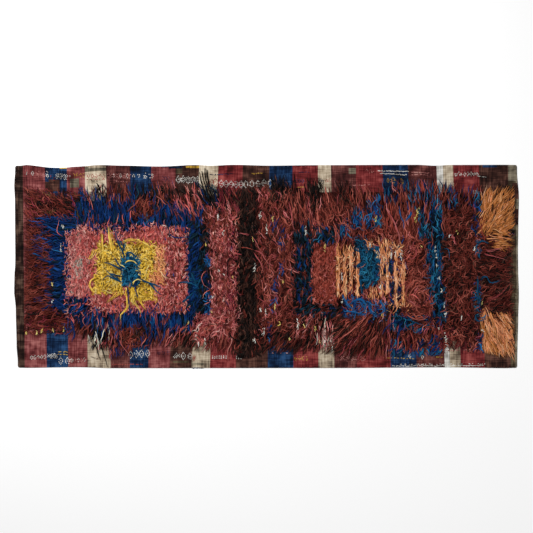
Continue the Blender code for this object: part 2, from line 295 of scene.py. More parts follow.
class Lay(Enum):
    """The kinds of lock: combed straight, waved, curled, looped and so on."""

    COMBED = LaySize(0.100, 0.0056, 14, 20, 0.066, 30, 0.25, 1.00, 6, 3.6, 0.75, 0.012)
    FRINGE = LaySize(0.084, 0.0047, 15, 22, 0.055, 34, 0.35, 1.00, 6, 2.7, 0.74, 0.024)
    LONG = LaySize(0.140, 0.0052, 12, 20, 0.085, 32, 0.30, 1.05, 7, 3.0, 0.65, 0.022)
    WAVY = LaySize(0.082, 0.0048, 30, 45, 0.044, 60, 0.35, 1.05, 7, 3.2, 0.50, 0.006)
    SHAG = LaySize(0.074, 0.0056, 36, 38, 0.050, 60, 0.25, 1.02, 6, 3.2, 0.60, 0.004)
    CURLY = LaySize(0.086, 0.0050, 50, 60, 0.054, 90, 0.35, 1.06, 7, 3.0, 0.42, 0.004)
    LOOPY = LaySize(0.038, 0.0052, 180, 80, 0.036, 150, 0.45, 1.04, 5, 1.8, 0.10, 0.0)
    PLUSH = LaySize(0.026, 0.0052, 180, 50, 0.030, 90, 0.70, 1.00, 4, 1.6, 0.10, 0.0)
    RIBBED = LaySize(0.038, 0.0045, 34, 60, 0.034, 80, 0.66, 1.02, 4, 2.0, 0.20, 0.0)
    WHORL = LaySize(0.092, 0.0048, 26, 50, 0.050, 55, 0.35, 1.06, 7, 2.6, 0.50, 0.012)
    MATTED = LaySize(0.060, 0.0066, 30, 34, 0.046, 60, 0.40, 0.95, 5, 3.4, 0.55, 0.004)
    TANGLE = LaySize(0.076, 0.0052, 180, 80, 0.046, 160, 0.80, 1.10, 8, 3.0, 0.30, 0.0)
    TUFT = LaySize(0.094, 0.0046, 14, 15, 0.075, 22, 0.34, 1.08, 5, 2.4, 0.50, 0.012)
    UPRIGHT = LaySize(0.048, 0.0056, 6, 20, 0.040, 20, 0.70, 1.05, 5, 2.4, 0.45, 0.004)


def chart_rows(chart: str) -> list[list[str | float]]:
    """Splits a chart at its line ends and semicolons into rows of names and numbers."""
    rows = [row.split() for row in chart.replace(";", "\n").splitlines() if row.strip()]
    return [[word if word[0].isalpha() else float(word) for word in row] for row in rows]


def option(word: str) -> tuple[str, bool | float | tuple[float, ...]]:
    """Reads one option of a chart's row.

    Args:
        word: "name", "name=number" or "name=number,number".

    Returns:
        Its name, and True, the number or the numbers.
    """
    name, _, given = word.partition("=")
    values = tuple(float(part) for part in given.split(",") if part)
    if len(values) > 1:
        return name, values
    return name, values[0] if values else True


@dataclass(frozen=True)
class Area:
    """A rectangle of the chart, by the columns and rows of its sides."""

    west: float
    east: float
    north: float
    south: float

    def holds(self, column: Array, row: Array) -> Array:
        """Whether each place lies inside."""
        return ((column > self.west) & (column < self.east)
                & (row > self.north) & (row < self.south))


@dataclass(frozen=True)
class Patch(Area):
    """A stretch of pile with one mix of yarns that lies one way. Places are chart squares.

    Attributes:
        flow: the heading from root to tip in degrees, with 0 to the east and 90 to the north.
        lay: the kind of lock.
        mix: the yarns.
        density: locks for each square, next to the usual number.
        over: whether it lies over the patches before it and doesn't take their place.
        fan: a place that its locks point away from, or None.
        turn: how far its locks are turned from that direction, in degrees, in a whorl.
        even: how much its shades vary, next to the usual.
        ragged: how far its border is blurred, in squares.
    """

    flow: float
    lay: Lay
    mix: Mix
    density: float = 1.0
    over: bool = False
    fan: tuple[float, float] | None = None
    turn: float = 0.0
    even: float = 1.0
    ragged: float = 1.5

    @staticmethod
    def read(chart: str) -> list["Patch"]:
        """Reads patches.

        Args:
            chart: rows of west, east, north, south, flow, lay, mix, density and any options.

        Returns:
            The patches, in the chart's order.
        """
        patches = []
        for west, east, north, south, flow, lay, mix, density, *options in chart_rows(chart):
            patches.append(Patch(west, east, north, south, flow, Lay[lay], Mix[mix], density,
                                 **dict(map(option, options))))
        return patches


# Rows of west, east, north, south, flow, lay, mix and density, then the options
WEST_PATCHES = Patch.read("""
9 34 56 148 180 WAVY WEST_END 1.3 fan=150,100 even=0.55
9 32 24 58 150 WAVY WEST_RED 1.5 fan=74,84 even=0.7
30 62 27 58 155 WAVY WEST_HEAD 1.6 fan=96,84 even=0.8
34 53 60 148 180 MATTED NAVY 1.4 even=0.6
26 63 51 68 170 COMBED NAVY 1.1 even=0.8
20 36 56 98 168 FRINGE NAVY 0.7 over
27 38 98 146 182 FRINGE NAVY 0.5 over
9 53 146 167 192 WAVY WEST_FOOT 1.6 even=0.7
""")

HEAD_PATCHES = Patch.read("""
60 186 37 65 94 COMBED NAVY_HEAD 1.4 even=0.8
64 73 24 42 96 FRINGE NAVY 1.1
72 92 30 42 95 FRINGE NAVY_TIPS 1.1
72 91 21 31 94 FRINGE IVORY_TIPS 0.7
91 116 20 37 93 FRINGE HEAD_TIPS 1.3
92 116 32 44 93 FRINGE NAVY_TIPS 0.6 over
114 123 20 40 92 FRINGE NAVY_TIPS 1.1
121 137 21 36 95 FRINGE NAVY_BLACK 1.1
118 138 32 51 104 WAVY RUST 1.4 fan=131,56
124 139 50 62 92 MATTED NAVY_BRIGHT 1.4 even=0.7
136 161 18 39 100 FRINGE RED_BLACK 1.2
138 162 34 44 106 FRINGE RED_BLACK 0.4 over
160 188 24 42 112 FRINGE CORAL_SHADE 1.3
156 190 36 51 114 FRINGE CORAL_SHADE 0.7 over
""")

MEDALLION_PATCHES = Patch.read("""
52 76 66 151 92 RIBBED BLUSH 2.6 even=0.35
67 71 72 150 92 RIBBED CORAL 2.5 even=0.5 ragged=0.8
60 68 94 113 92 RIBBED PALE_PATCH 2.6 even=0.5 ragged=1
62 76 60 72 92 RIBBED BLUSH 2.3 even=0.6
74 150 64 152 90 RIBBED CORAL 2.3 even=0.8
74 150 59 67 92 RIBBED CORAL_NAVY 2.3
126 150 61 82 92 RIBBED CORAL_BRIGHT 2.3 even=0.6
148 175 62 150 92 RIBBED CORAL_SPECKED 2.2 even=1.2 ragged=1
155 160 76 146 92 RIBBED ROSE 2.2 even=1.3 ragged=0.8
83 143 78 118 0 LOOPY YELLOW 1.5 even=0.9
79 109 110 129 0 LOOPY YELLOW 1.5 even=0.9
122 141 117 136 0 LOOPY YELLOW 1.4 even=0.7
114 122 120 138 270 SHAG YELLOW 1.3 even=0.8
86 90 70 92 92 COMBED YELLOW 1 over ragged=0.6
93 100 68 90 102 COMBED YELLOW 0.9 over ragged=0.8
81 105 84 106 175 CURLY YELLOW 0.9 over fan=116,103
79 106 106 127 195 CURLY YELLOW 0.9 over fan=116,98
108 141 77 88 20 CURLY YELLOW 0.9 over fan=112,108
126 139 86 114 0 CURLY YELLOW 0.9 over fan=110,103
140.5 149.5 81 114 90 RIBBED AMBER 3 even=0.6 ragged=0.5
136 149.5 105 120 300 SHAG AMBER 1.8 even=0.7 ragged=0.6
106 112 78 93 108 COMBED TEAL 1.5 over even=0.7 ragged=0.6
101 107 68 82 110 COMBED TEAL 0.9 over even=0.7 ragged=0.5
107 126 90 121 0 LOOPY TEAL 2 even=0.8 ragged=0.8
106 117 89 98 118 SHAG TEAL 1.4 over even=0.8 ragged=0.6
109 124 94 118 0 TANGLE TEAL 0.55 over ragged=0.6
""")

MIDDLE_PATCHES = Patch.read("""
173 190 55 152 60 MATTED NAVY_DEEP 1.5 even=0.6 ragged=1
175 187 104 140 40 CURLY TEAL_NAVY 0.7 over
176 186 112 132 0 SHAG TEAL 0.8 over fan=190,121 ragged=1
184 196 52 160 80 MATTED NIGHT_BLACK 1.6 even=0.8 ragged=0.8
190 196 94 102 90 PLUSH ROYAL 3 even=0.6 ragged=0.3
190 196 128 137 90 PLUSH ROYAL 2.6 even=0.6 ragged=0.4
190 197 140 151 90 PLUSH ROYAL 2.8 even=0.6 ragged=0.4
184 204 21 44 118 FRINGE NIGHT_BLACK 1.5 even=0.8
53 176 148 166 270 COMBED NAVY_FOOT 1.3 even=0.9
53 76 133 153 240 SHAG NAVY_CORAL 1.2
55 80 158 171 242 FRINGE FOOT_TIPS 1
78 96 160 184 262 FRINGE WISPS 1.1
94 116 160 190 268 FRINGE FOOT_TIPS 1.3
99 105 152 174 268 FRINGE NAVY 1 over ragged=0.8
106 131 162 180 250 CURLY RUST 1.3
129 158 162 178 262 FRINGE NAVY_MADDER 1.3
152 200 164 183 240 FRINGE MOTLEY 1.2
""")

BAND_PATCHES = Patch.read("""
196 224 54 162 92 RIBBED ROSE 2.2
213 223 62 148 92 RIBBED ROSE_CRIMSON 2.2 ragged=1
196 224 60 150 90 WAVY ROSE 0.3 over
190 208 46 92 100 WAVY ROSE_DEEP 0.5 over
188 226 40 60 108 WAVY ROSE_DEEP 1.4
200 224 38 60 105 CURLY ROSE 0.6 over
203 228 23 42 100 FRINGE CRIMSON_BLACK 1.3
182 224 150 176 245 CURLY ROSE_PALE 1.6 fan=224,124 even=0.9
196 224 172 184 256 FRINGE ROSE_DEEP 1.1
222 245 24 192 92 MATTED DARK 1.4 even=0.7
225 243 108 178 94 MATTED DARK_BROWN 1.3 ragged=3
224 244 26 176 94 WAVY DARK 0.4 over even=0.8
243 279 24 184 92 SHAG MADDER 1.4
243 281 26 90 97 WAVY MADDER 0.7 over
243 279 90 150 92 CURLY MADDER 0.35 over
257 261 53 68 90 SHAG NAVY_BRIGHT 1.4 over ragged=0.5
265 269 64 84 84 SHAG NAVY_BRIGHT 1.4 over ragged=0.5
266 269 96 110 90 SHAG NAVY_BRIGHT 1.4 over ragged=0.5
258 262 114 138 90 SHAG NAVY_BRIGHT 1.4 over ragged=0.5
256 260 138 148 90 SHAG NAVY_BRIGHT 1.2 over ragged=0.5
253 257 158 174 90 SHAG NAVY_BRIGHT 1.2 over ragged=0.5
245 281 150 172 255 CURLY MADDER 1.3
246 304 168 186 236 FRINGE DARK_MADDER 1.4
""")

CREST_PATCHES = Patch.read("""
278 466 28 76 93 LONG CREST 1.2
256 270 13 40 95 FRINGE DARK 1.2 ragged=1
268 282 22 44 98 FRINGE DARK_MADDER 0.9
280 292 28 50 98 FRINGE CREST 0.9
291 306 14 40 97 FRINGE DARK 1.5 even=0.8 ragged=0.9
278 296 36 60 98 LONG ROSE_DEEP 0.5 over
305 324 28 50 100 FRINGE CREST 1.2
324 336 18 44 102 FRINGE DARK_MADDER 1.2
334 366 30 50 98 FRINGE CREST 1.1
300 336 40 62 98 CURLY CREST 0.8 over
336 348 45 64 92 SHAG PEACOCK 1.9 ragged=0.9
324 334 56 70 100 SHAG PEACOCK 1.4 ragged=0.9
337 345 60 78 100 SHAG PEACOCK 1.5 ragged=0.8
351 357 38 63 92 SHAG PEACOCK 1.7 ragged=0.7
359 366 32 62 98 SHAG PEACOCK 1.9 ragged=0.7
367 380 34 62 96 COMBED MADDER_CURLS 1.2
367 377 26 36 96 FRINGE TEAL_NAVY 0.8
377 394 20 44 93 FRINGE MADDER_BLUE 1
392 423 18 46 93 FRINGE TEAL_MADDER 1.1
378 404 38 62 92 LONG MADDER_CURLS 0.8 over
420 438 22 44 84 FRINGE MADDER_BLUE 1
437 466 26 46 76 FRINGE MADDER_BLUE 0.9
437 441 26 40 88 SHAG TEAL 1.8 over ragged=0.5
336 400 62 82 95 CURLY MADDER_CURLS 1.3
403 413 48 76 84 SHAG BLUE_BAR 1.7 fan=407,110 ragged=1
415 428 44 78 84 SHAG BLUE_BAR 1.8 fan=420,110 ragged=1
""")

EAST_PANEL_PATCHES = Patch.read("""
278 297 54 152 96 MATTED NIGHT 1.5 even=0.9
296 302 58 80 96 SHAG MADDER_DEEP 1.2
301 322 60 80 100 MATTED NIGHT 1.4
301 311 61 78 96 SHAG TEAL_NAVY 0.7 over ragged=0.8
278 331 139 153 20 MATTED NIGHT 1.4
297 322 79 139 90 RIBBED BRICK 2.1 even=0.8 ragged=1.2
297 322 92 139 88 WAVY BRICK 0.5 over even=0.9
321 345 79 131 92 SHAG PEACH_DARK 1.3
321.3 324.4 79 129 91 UPRIGHT PEACH 2.3 over ragged=0.3
328.2 331.2 84 129 91 UPRIGHT PEACH 2.3 over ragged=0.3
334.2 337 82 126 90 UPRIGHT PEACH 2.3 over ragged=0.3
341.2 344 86 130 90 UPRIGHT PEACH 2.3 over ragged=0.3
323 338 88 104 50 CURLY PEACH 0.7 over
344 364 82 124 112 CURLY TEAL 1.6 ragged=1.2
339 352 72 88 128 CURLY TEAL 1.2 ragged=1
340 348 97 106 150 SHAG TEAL 1.3 over ragged=0.8
350 360 76 84 110 SHAG PEACH 1.4 ragged=0.7
348 366 120 134 80 SHAG ROYAL_MADDER 1.2
353 363 122 132 88 UPRIGHT PEACH 1 over ragged=0.8
364 391 74 142 92 SHAG PEACH_NAVY 1.2
364.5 373 74 96 95 UPRIGHT PEACH 1.5 over ragged=0.6
365 368.3 96 129 88 UPRIGHT PEACH 2.3 over ragged=0.3
371 373.6 96 127 90 UPRIGHT PEACH 2.3 over ragged=0.3
379.4 382 86 137 92 UPRIGHT PEACH 2.3 over ragged=0.3
386.4 389.8 96 139 92 UPRIGHT PEACH 2.3 over ragged=0.3
366 388 138 142 95 RIBBED PEACH 1.8 over ragged=0.8
372 387 78 93 92 RIBBED PEACH 1.4 over ragged=0.8
366 390 113 117 92 RIBBED PEACH 2.2 over ragged=0.6
368 371.4 98 111 90 RIBBED NAVY_DEEP 2.6 ragged=0.3
373.2 378.8 95 109 90 RIBBED NAVY_DEEP 2.6 ragged=0.3
374.8 379.2 117 131 90 RIBBED NAVY_DEEP 2.6 ragged=0.3
382 386.4 117 134 90 RIBBED NAVY_DEEP 2.6 ragged=0.3
386 396 129 142 60 SHAG PEACH 1.2 over ragged=0.8
389 418 74 112 60 CURLY MADDER_CURLS 1.5
387 418 108 158 0 WHORL MADDER_CURLS 1.3 fan=404,133 turn=-78 even=0.85
388 417 110 150 70 CURLY MADDER_CURLS 0.35 over
330 352 133 152 90 TANGLE ROYAL 0.6 over even=0.9
354 372 138 154 90 TANGLE ROYAL 0.4 over even=0.9
330 374 128 152 100 SHAG ROYAL_MADDER 1.2
412 430 72 104 85 SHAG BLUE_BAR 1.6 even=0.8
414 433 104 134 85 SHAG BLUE_BAR 1.6 even=0.8
418 438 134 162 85 SHAG BLUE_BAR 1.6 even=0.8
427 446 76 122 60 CURLY DARK_MADDER 1.2
431 464 44 184 60 CURLY MADDER_DEEP 1.3 even=0.85
427 446 76 122 60 CURLY DARK_MADDER 0.6 over
458 465 40 70 90 SHAG NAVY_DEEP 1.5 over ragged=0.8
460 465 77 89 90 SHAG TEAL 1.6 over ragged=0.5
459 465 116 144 84 SHAG TEAL_NAVY 1.8 over ragged=0.7
460 469 148 156 40 SHAG TEAL 1.2 over ragged=0.6
463 468 166 186 92 SHAG NAVY_BRIGHT 1.2 over ragged=0.6
""")

HEM_PATCHES = Patch.read("""
278 304 151 172 245 WAVY MOTLEY 1.6
302 320 151 182 266 FRINGE MOTLEY_IVORY 1.5
308 319 162 184 268 FRINGE IVORY_LOCKS 1.2 ragged=0.8
318 378 152 186 226 LONG DARK_MADDER 0.6 fan=378,118
318 376 152 190 226 LONG HEM 1.1 over fan=378,118 even=1.05
318 346 152 172 226 WAVY RUST 0.8 over fan=378,118
374 402 158 186 262 WAVY HEM 1.3 even=1.2
400 432 157 184 262 WAVY HEM 1.4 even=1.2
374 396 150 166 270 CURLY TEAL_NAVY 1.1 fan=386,140
396 416 154 164 350 CURLY TEAL_MADDER 1.1
375 390 178 190 262 MATTED TEAL_NAVY 1.3 over ragged=0.9
402 408 177 194 262 MATTED TEAL_NAVY 1.3 over ragged=0.6
413 424 173 193 250 MATTED TEAL_NAVY 1.2 over ragged=0.8
430 466 157 184 268 CURLY HEM 1.3 even=1.2
448 458 177 184 268 SHAG NAVY_MADDER 1 over
""")

EAST_PATCHES = Patch.read("""
464 497 62 112 -5 WAVY EAST_END 1.5 even=0.9
464 497 110 152 16 WAVY EAST_END 1.5 even=0.9
466.5 500 27 64 40 TUFT COPPER 2.7 fan=452,94 even=0.6 ragged=1
467 478 28 62 62 TUFT COPPER_PALE 0.9 over fan=458,110
480 495 63 84 -12 TUFT COPPER 2.4 even=0.6
468 498 152 190 -58 TUFT COPPER_PALE 2.7 fan=462,122 even=0.8
496 500 41 45 40 MATTED NIGHT_BLACK 2.2 over ragged=0.5
495 500 66 70 10 MATTED NIGHT_BLACK 2.2 over ragged=0.5
493 498 158 164 -30 MATTED DARK 1.6 over ragged=0.5
496 500 174 179 -40 MATTED DARK 1.6 over ragged=0.5
""")

PATCHES = (
    *WEST_PATCHES, *HEAD_PATCHES, *MEDALLION_PATCHES, *MIDDLE_PATCHES, *BAND_PATCHES,
    *CREST_PATCHES, *EAST_PANEL_PATCHES, *HEM_PATCHES, *EAST_PATCHES,
)


@dataclass(frozen=True)
class Strands:
    """Long strands of one yarn that show by themselves, each with the chart places it passes.

    Attributes:
        dye: their yarn.
        width: across each, in metres.
        bundle: how many lie side by side along a route.
        loose: how far apart they lie, in squares.
        shade: from 0, deep, to 1, pale.
        routes: the columns and rows that each passes, (place, 2).
    """

    dye: Dye
    width: float
    bundle: int
    loose: float
    shade: float
    routes: list[Array] = field(default_factory=list)

    @staticmethod
    def read(chart: str) -> list["Strands"]:
        """Reads kinds of strand.

        Args:
            chart: for each kind a row of its dye, width, bundle, loose and shade, and then
                rows of columns and rows by turns, one row for each route.

        Returns:
            The kinds, in the chart's order.
        """
        kinds: list[Strands] = []
        for first, *rest in chart_rows(chart):
            if isinstance(first, str):
                width, bundle, loose, shade = rest
                kinds.append(Strands(Dye[first], width, int(bundle), loose, shade))
            else:
                kinds[-1].routes.append(np.reshape([first, *rest], (-1, 2)))
        return kinds


STRANDS = Strands.read("""
TEAL 0.0056 7 0.6 0.16
110 92 107 85 103 76 100 64
TEAL 0.0054 4 0.45 0.16
110 90 115 87 121 91 126 96; 112 92 118 93 122 96 125 99; 109 105 103 102 97 99 89 97
109 104 104 99 101 94 98 90; 109 112 101 110 95 108; 109 116 102 113 97 110 91 104
111 119 104 116 98 113 93 111 87 116; 122 112 130 116 136 119 142 126 148 130
124 115 134 118 141 120 151 125; 163 118 170 117 178 119 186 124; 166 139 172 134 180 126
176 106 179 113 183 121; 188 112 185 117 182 124; 340 71 346 77 352 85 357 95; 337 84 343 86 347 90
340 104 344 99 348 97; 355 85 358 84 362 83; 358 98 362 97 366 95; 345 110 346 120 347 130
463 118 467 112 471 112 474 117 480 117 487 114; 462 108 462 120 462 130 463 140; 462 80 466 76 474 79
463 148 460 152 464 156 472 152
TEAL 0.0055 1 0.2 0.3
426 85 432 84 434 90 433 97; 407 111 412 113 418 111; 385 154 393 155 402 158 410 161
NAVY 0.005 3 0.5 0.36
122 114 121 122 122 128 124 134; 112 118 114 128 115 140 115 152; 145 135 141 141 138 146 132 150
56 154 58 161 60 168 57 176; 154 67 159 72 165 73 171 72 177 73; 386 155 384 164 382 172 381 184
388 156 377 158 370 164 366 172
YELLOW 0.0046 5 0.9 0.46
88 92 88 84 88 76 88 67; 99 90 97 80 95 71 94 61; 110 122 112 130 113 140 110 146 106 150 107 157
118 121 119 130 120 137 124 143 127 149
YELLOW 0.0042 3 1.1 0.4
84 86 80 86 78 90 75 94 72 92; 85 110 77 113 75 120 79 126 85 129; 108 126 103 128 98 132 91 138
124 130 127 138 132 145; 104 80 112 76 121 75 129 78 134 83; 122 74 130 76 138 83 142 91
YELLOW 0.0048 2 0.3 0.55
126 121 123 126 126 132 132 131; 118 120 120 116 124 114 130 116; 100 86 105 90 107 95
109 101 113 96 119 96 123 100 126 103
CORAL 0.0044 1 0.2 0.46
92 64 94 57 96 51; 101 62 103 55 104 48; 110 60 108 53 109 48; 50 73 43 67 44 60 45 54
79 46 77 38 75 32; 195 105 189 108 187 114 190 121 196 124; 196 124 190 128 188 134
196 137 192 138 189 140; 171 161 166 164 165 171 165 179; 217 166 217 176 213 186 214 198
248 128 254 131 257 125; 157 72 154 66 158 62 164 63; 72 150 69 156 72 162; 82 150 84 158 82 164
ROSE 0.0042 3 1.2 0.42
170 27 174 33 175 40 179 48; 165 31 167 38 173 46; 178 26 184 33 187 41 192 48; 161 33 162 40 167 48
CORAL 0.0042 3 1 0.36
175 35 178 41 179 47 184 53; 169 38 174 43 177 50; 172 29 173 36 178 42
BLUSH 0.0038 1 0.3 0.3
163 26 164 33 168 40 170 47; 176 31 179 30 181 35 182 41; 184 21 186 28 189 34
ROSE 0.0044 2 0.5 0.46
372 46 377 53 381 62 384 72 384 82
BLACK 0.005 3 0.22 0.15
190 3 190 10 192 20 197 32; 185 7 187 18 191 31 190 46; 187 6 189 16 193 26 196 34; 192 5 193 14 196 24
212 60 213 70 217 76 222 79 226 83; 213 118 213 106 213 97 216 93 220 96 225 101
214 166 217 172 222 175 229 174; 82 18 85 24 86 31; 84 170 86 180 90 192 93 203; 80 172 82 184 86 196
160 20 164 30 166 40; 256 12 258 20 258 30; 279 8 280 18 281 30
BRICK 0.0042 2 0.4 0.45
225 83 232 83 239 85; 383 168 383 180 381 190; 385 168 390 180 389 189; 395 165 398 175 400 186
ROSE 0.004 2 0.6 0.4
235 70 229 69 224 68; 235 70 240 76 243 82 247 88; 237 85 246 88 251 95 256 103
237 85 242 92 247 100 249 110; 240 130 246 134 252 138 257 144; 272 34 275 44 277 56 279 66
322 96 320 84 324 72 318 62; 394 82 400 84 401 90 396 94 393 89; 466 84 474 86 482 84 490 82
467 88 475 91 484 93 493 96; 470 137 478 133 486 128 497 116
MADDER 0.0044 2 0.6 0.6
392 142 390 131 393 121 400 116 409 117; 396 143 394 132 397 124 404 120 411 124 414 133
388 147 394 152 402 155 410 153 415 146; 400 139 402 146 408 150; 398 128 404 126 409 131 408 138
CORAL 0.0044 2 0.25 0.4
392 130 398 130 403 134 406 139
ROYAL 0.0054 4 0.5 0.42
333 140 338 136 345 134 350 139 348 146 341 150; 327 128 329 134 334 141 342 148
356 134 354 141 357 148 364 151; 362 133 368 140 369 146 362 150; 384 40 385 50 388 57 389 66
398 44 394 52 389 57; 330 146 340 147 350 150
""")


@dataclass(frozen=True)
class Fleck:
    """A few pale ends of yarn that show between the locks, at a chart place."""

    column: float
    row: float
    tall: float
    dye: Dye = Dye.IVORY


# Rows of column, row and size, and of the dye where it isn't ivory
FLECKS = [Fleck(*sizes[:3], *(Dye[name] for name in sizes[3:])) for sizes in chart_rows("""
203 52 7; 208 69 5; 209 110 3; 204 105 3; 198 132 3; 197 147 3 YELLOW; 245 52 7; 252 64 7; 240 102 8
246 144 5; 251 147 5; 249 167 9; 240 175 7; 283 158 7; 291 66 7; 355 80 6; 365 124 7; 372 112 4
376 90 9; 380 88 5; 386 92 9; 327 112 8; 327 137 5; 420 84 5; 421 92 4; 422 101 5; 424 113 4; 426 126 5
429 141 4; 430 149 7; 434 72 5; 446 151 6; 423 163 3; 430 172 6; 431 178 6; 468 165 3; 459 84 4
310 168 9 BLUSH; 310 177 7; 316 174 7 BLUSH; 305 163 4 BLUSH; 38 136 4; 48 62 4; 46 84 5; 184 178 6
190 176 5; 181 170 6 BLUSH; 402 46 9 YELLOW; 400 54 7 YELLOW; 310 82 8 YELLOW; 362 90 8 AMBER
218 112 3 YELLOW; 191 79 3 YELLOW; 238 74 3 YELLOW; 258 54 4 YELLOW; 268 116 4 YELLOW; 260 143 4 YELLOW
265 158 5 YELLOW; 289 160 4 YELLOW; 300 164 5 YELLOW; 275 174 4 YELLOW; 305 177 4 YELLOW
467 138 4 YELLOW; 442 66 3 YELLOW; 367 150 3 YELLOW; 406 81 3 YELLOW; 361 54 6 YELLOW; 38 118 4 YELLOW
11 172 5 YELLOW; 22 173 6 YELLOW; 27 166 4 YELLOW; 39 165 4 YELLOW; 49 164 6 YELLOW; 174 158 4 YELLOW
""")]


@dataclass(frozen=True)
class Stripe:
    """One stripe of the ground: its wool and its east side at the north and the south edge."""

    wool: Wool
    north: float
    south: float


STRIPES = [Stripe(Wool[name], north, south) for name, north, south in chart_rows("""
SELVEDGE 8 10; MADDER 30 32; NAVY 52 53.5; MADDER 70 73; IVORY 91 96; RUSSET 115.5 115; NAVY 136.5 133.5
MADDER 161 155; UMBER 184.5 176.5; IVORY 203.5 195; CRIMSON 228 221; UMBER 254.5 253; NAVY 277.7 278.6
CRIMSON 303 303.5; IVORY 316 319.5; RUSSET 341 342; CRIMSON 367.5 376; NAVY 393 402; RUSSET 421.5 430
WHITE 428 435; IVORY 438 446; CRIMSON 464 470; UMBER 493 496; OLIVE 501.5 502; GREY 512 512
""")]


@dataclass(frozen=True)
class Darn(Area):
    """A rectangle of the ground that was rewoven in another wool."""

    wool: Wool


# Rows of wool, west, east, north and south
DARNS = [Darn(*sides, Wool[name]) for name, *sides in chart_rows("""
GREY 54.6 65.5 14 22.5; UMBER 31 44 16.5 26; UMBER 34 46 14.6 24; GREY 70 90 2.6 6; OCHRE 170 186 0.6 3
NAVY 146 169 1 3; OCHRE 43 52 0 4; GREY 334 340 3 9; NAVY 469 481 0 2.5; GREY 178 190 198 200
OLIVE 157 174 196 198; GREY 493 506 0 16; OLIVE 161 169 3 8; UMBER 496 506 18 34; UMBER 499 506 44 60
""")]


class Figure(Enum):
    """Brocaded figures, charted as crosses and dots: a cross is a stitch and a dot is bare ground."""

    TALL = ("..x..", ".x.x.", "x...x", "x.x.x", "x...x", ".x.x.", "..x..")
    STAR = (".x.x.", "x.x.x", ".xxx.", "x.x.x", ".x.x.")
    OVAL = (".x.", "x.x", "x.x", ".x.")
    DASH = ("x", "x", "x")
    LINE = ("xx",)


@dataclass(frozen=True)
class Brocade:
    """A row of one figure, from one chart place to another, a pitch apart.

    Attributes:
        start: the middle of the first figure.
        end: the middle of the last figure.
        pitch: squares from one figure to the next.
        kept: the share of its stitches that wear has left.
    """

    figure: Figure
    wool: Wool
    start: tuple[float, float]
    end: tuple[float, float]
    pitch: float
    kept: float


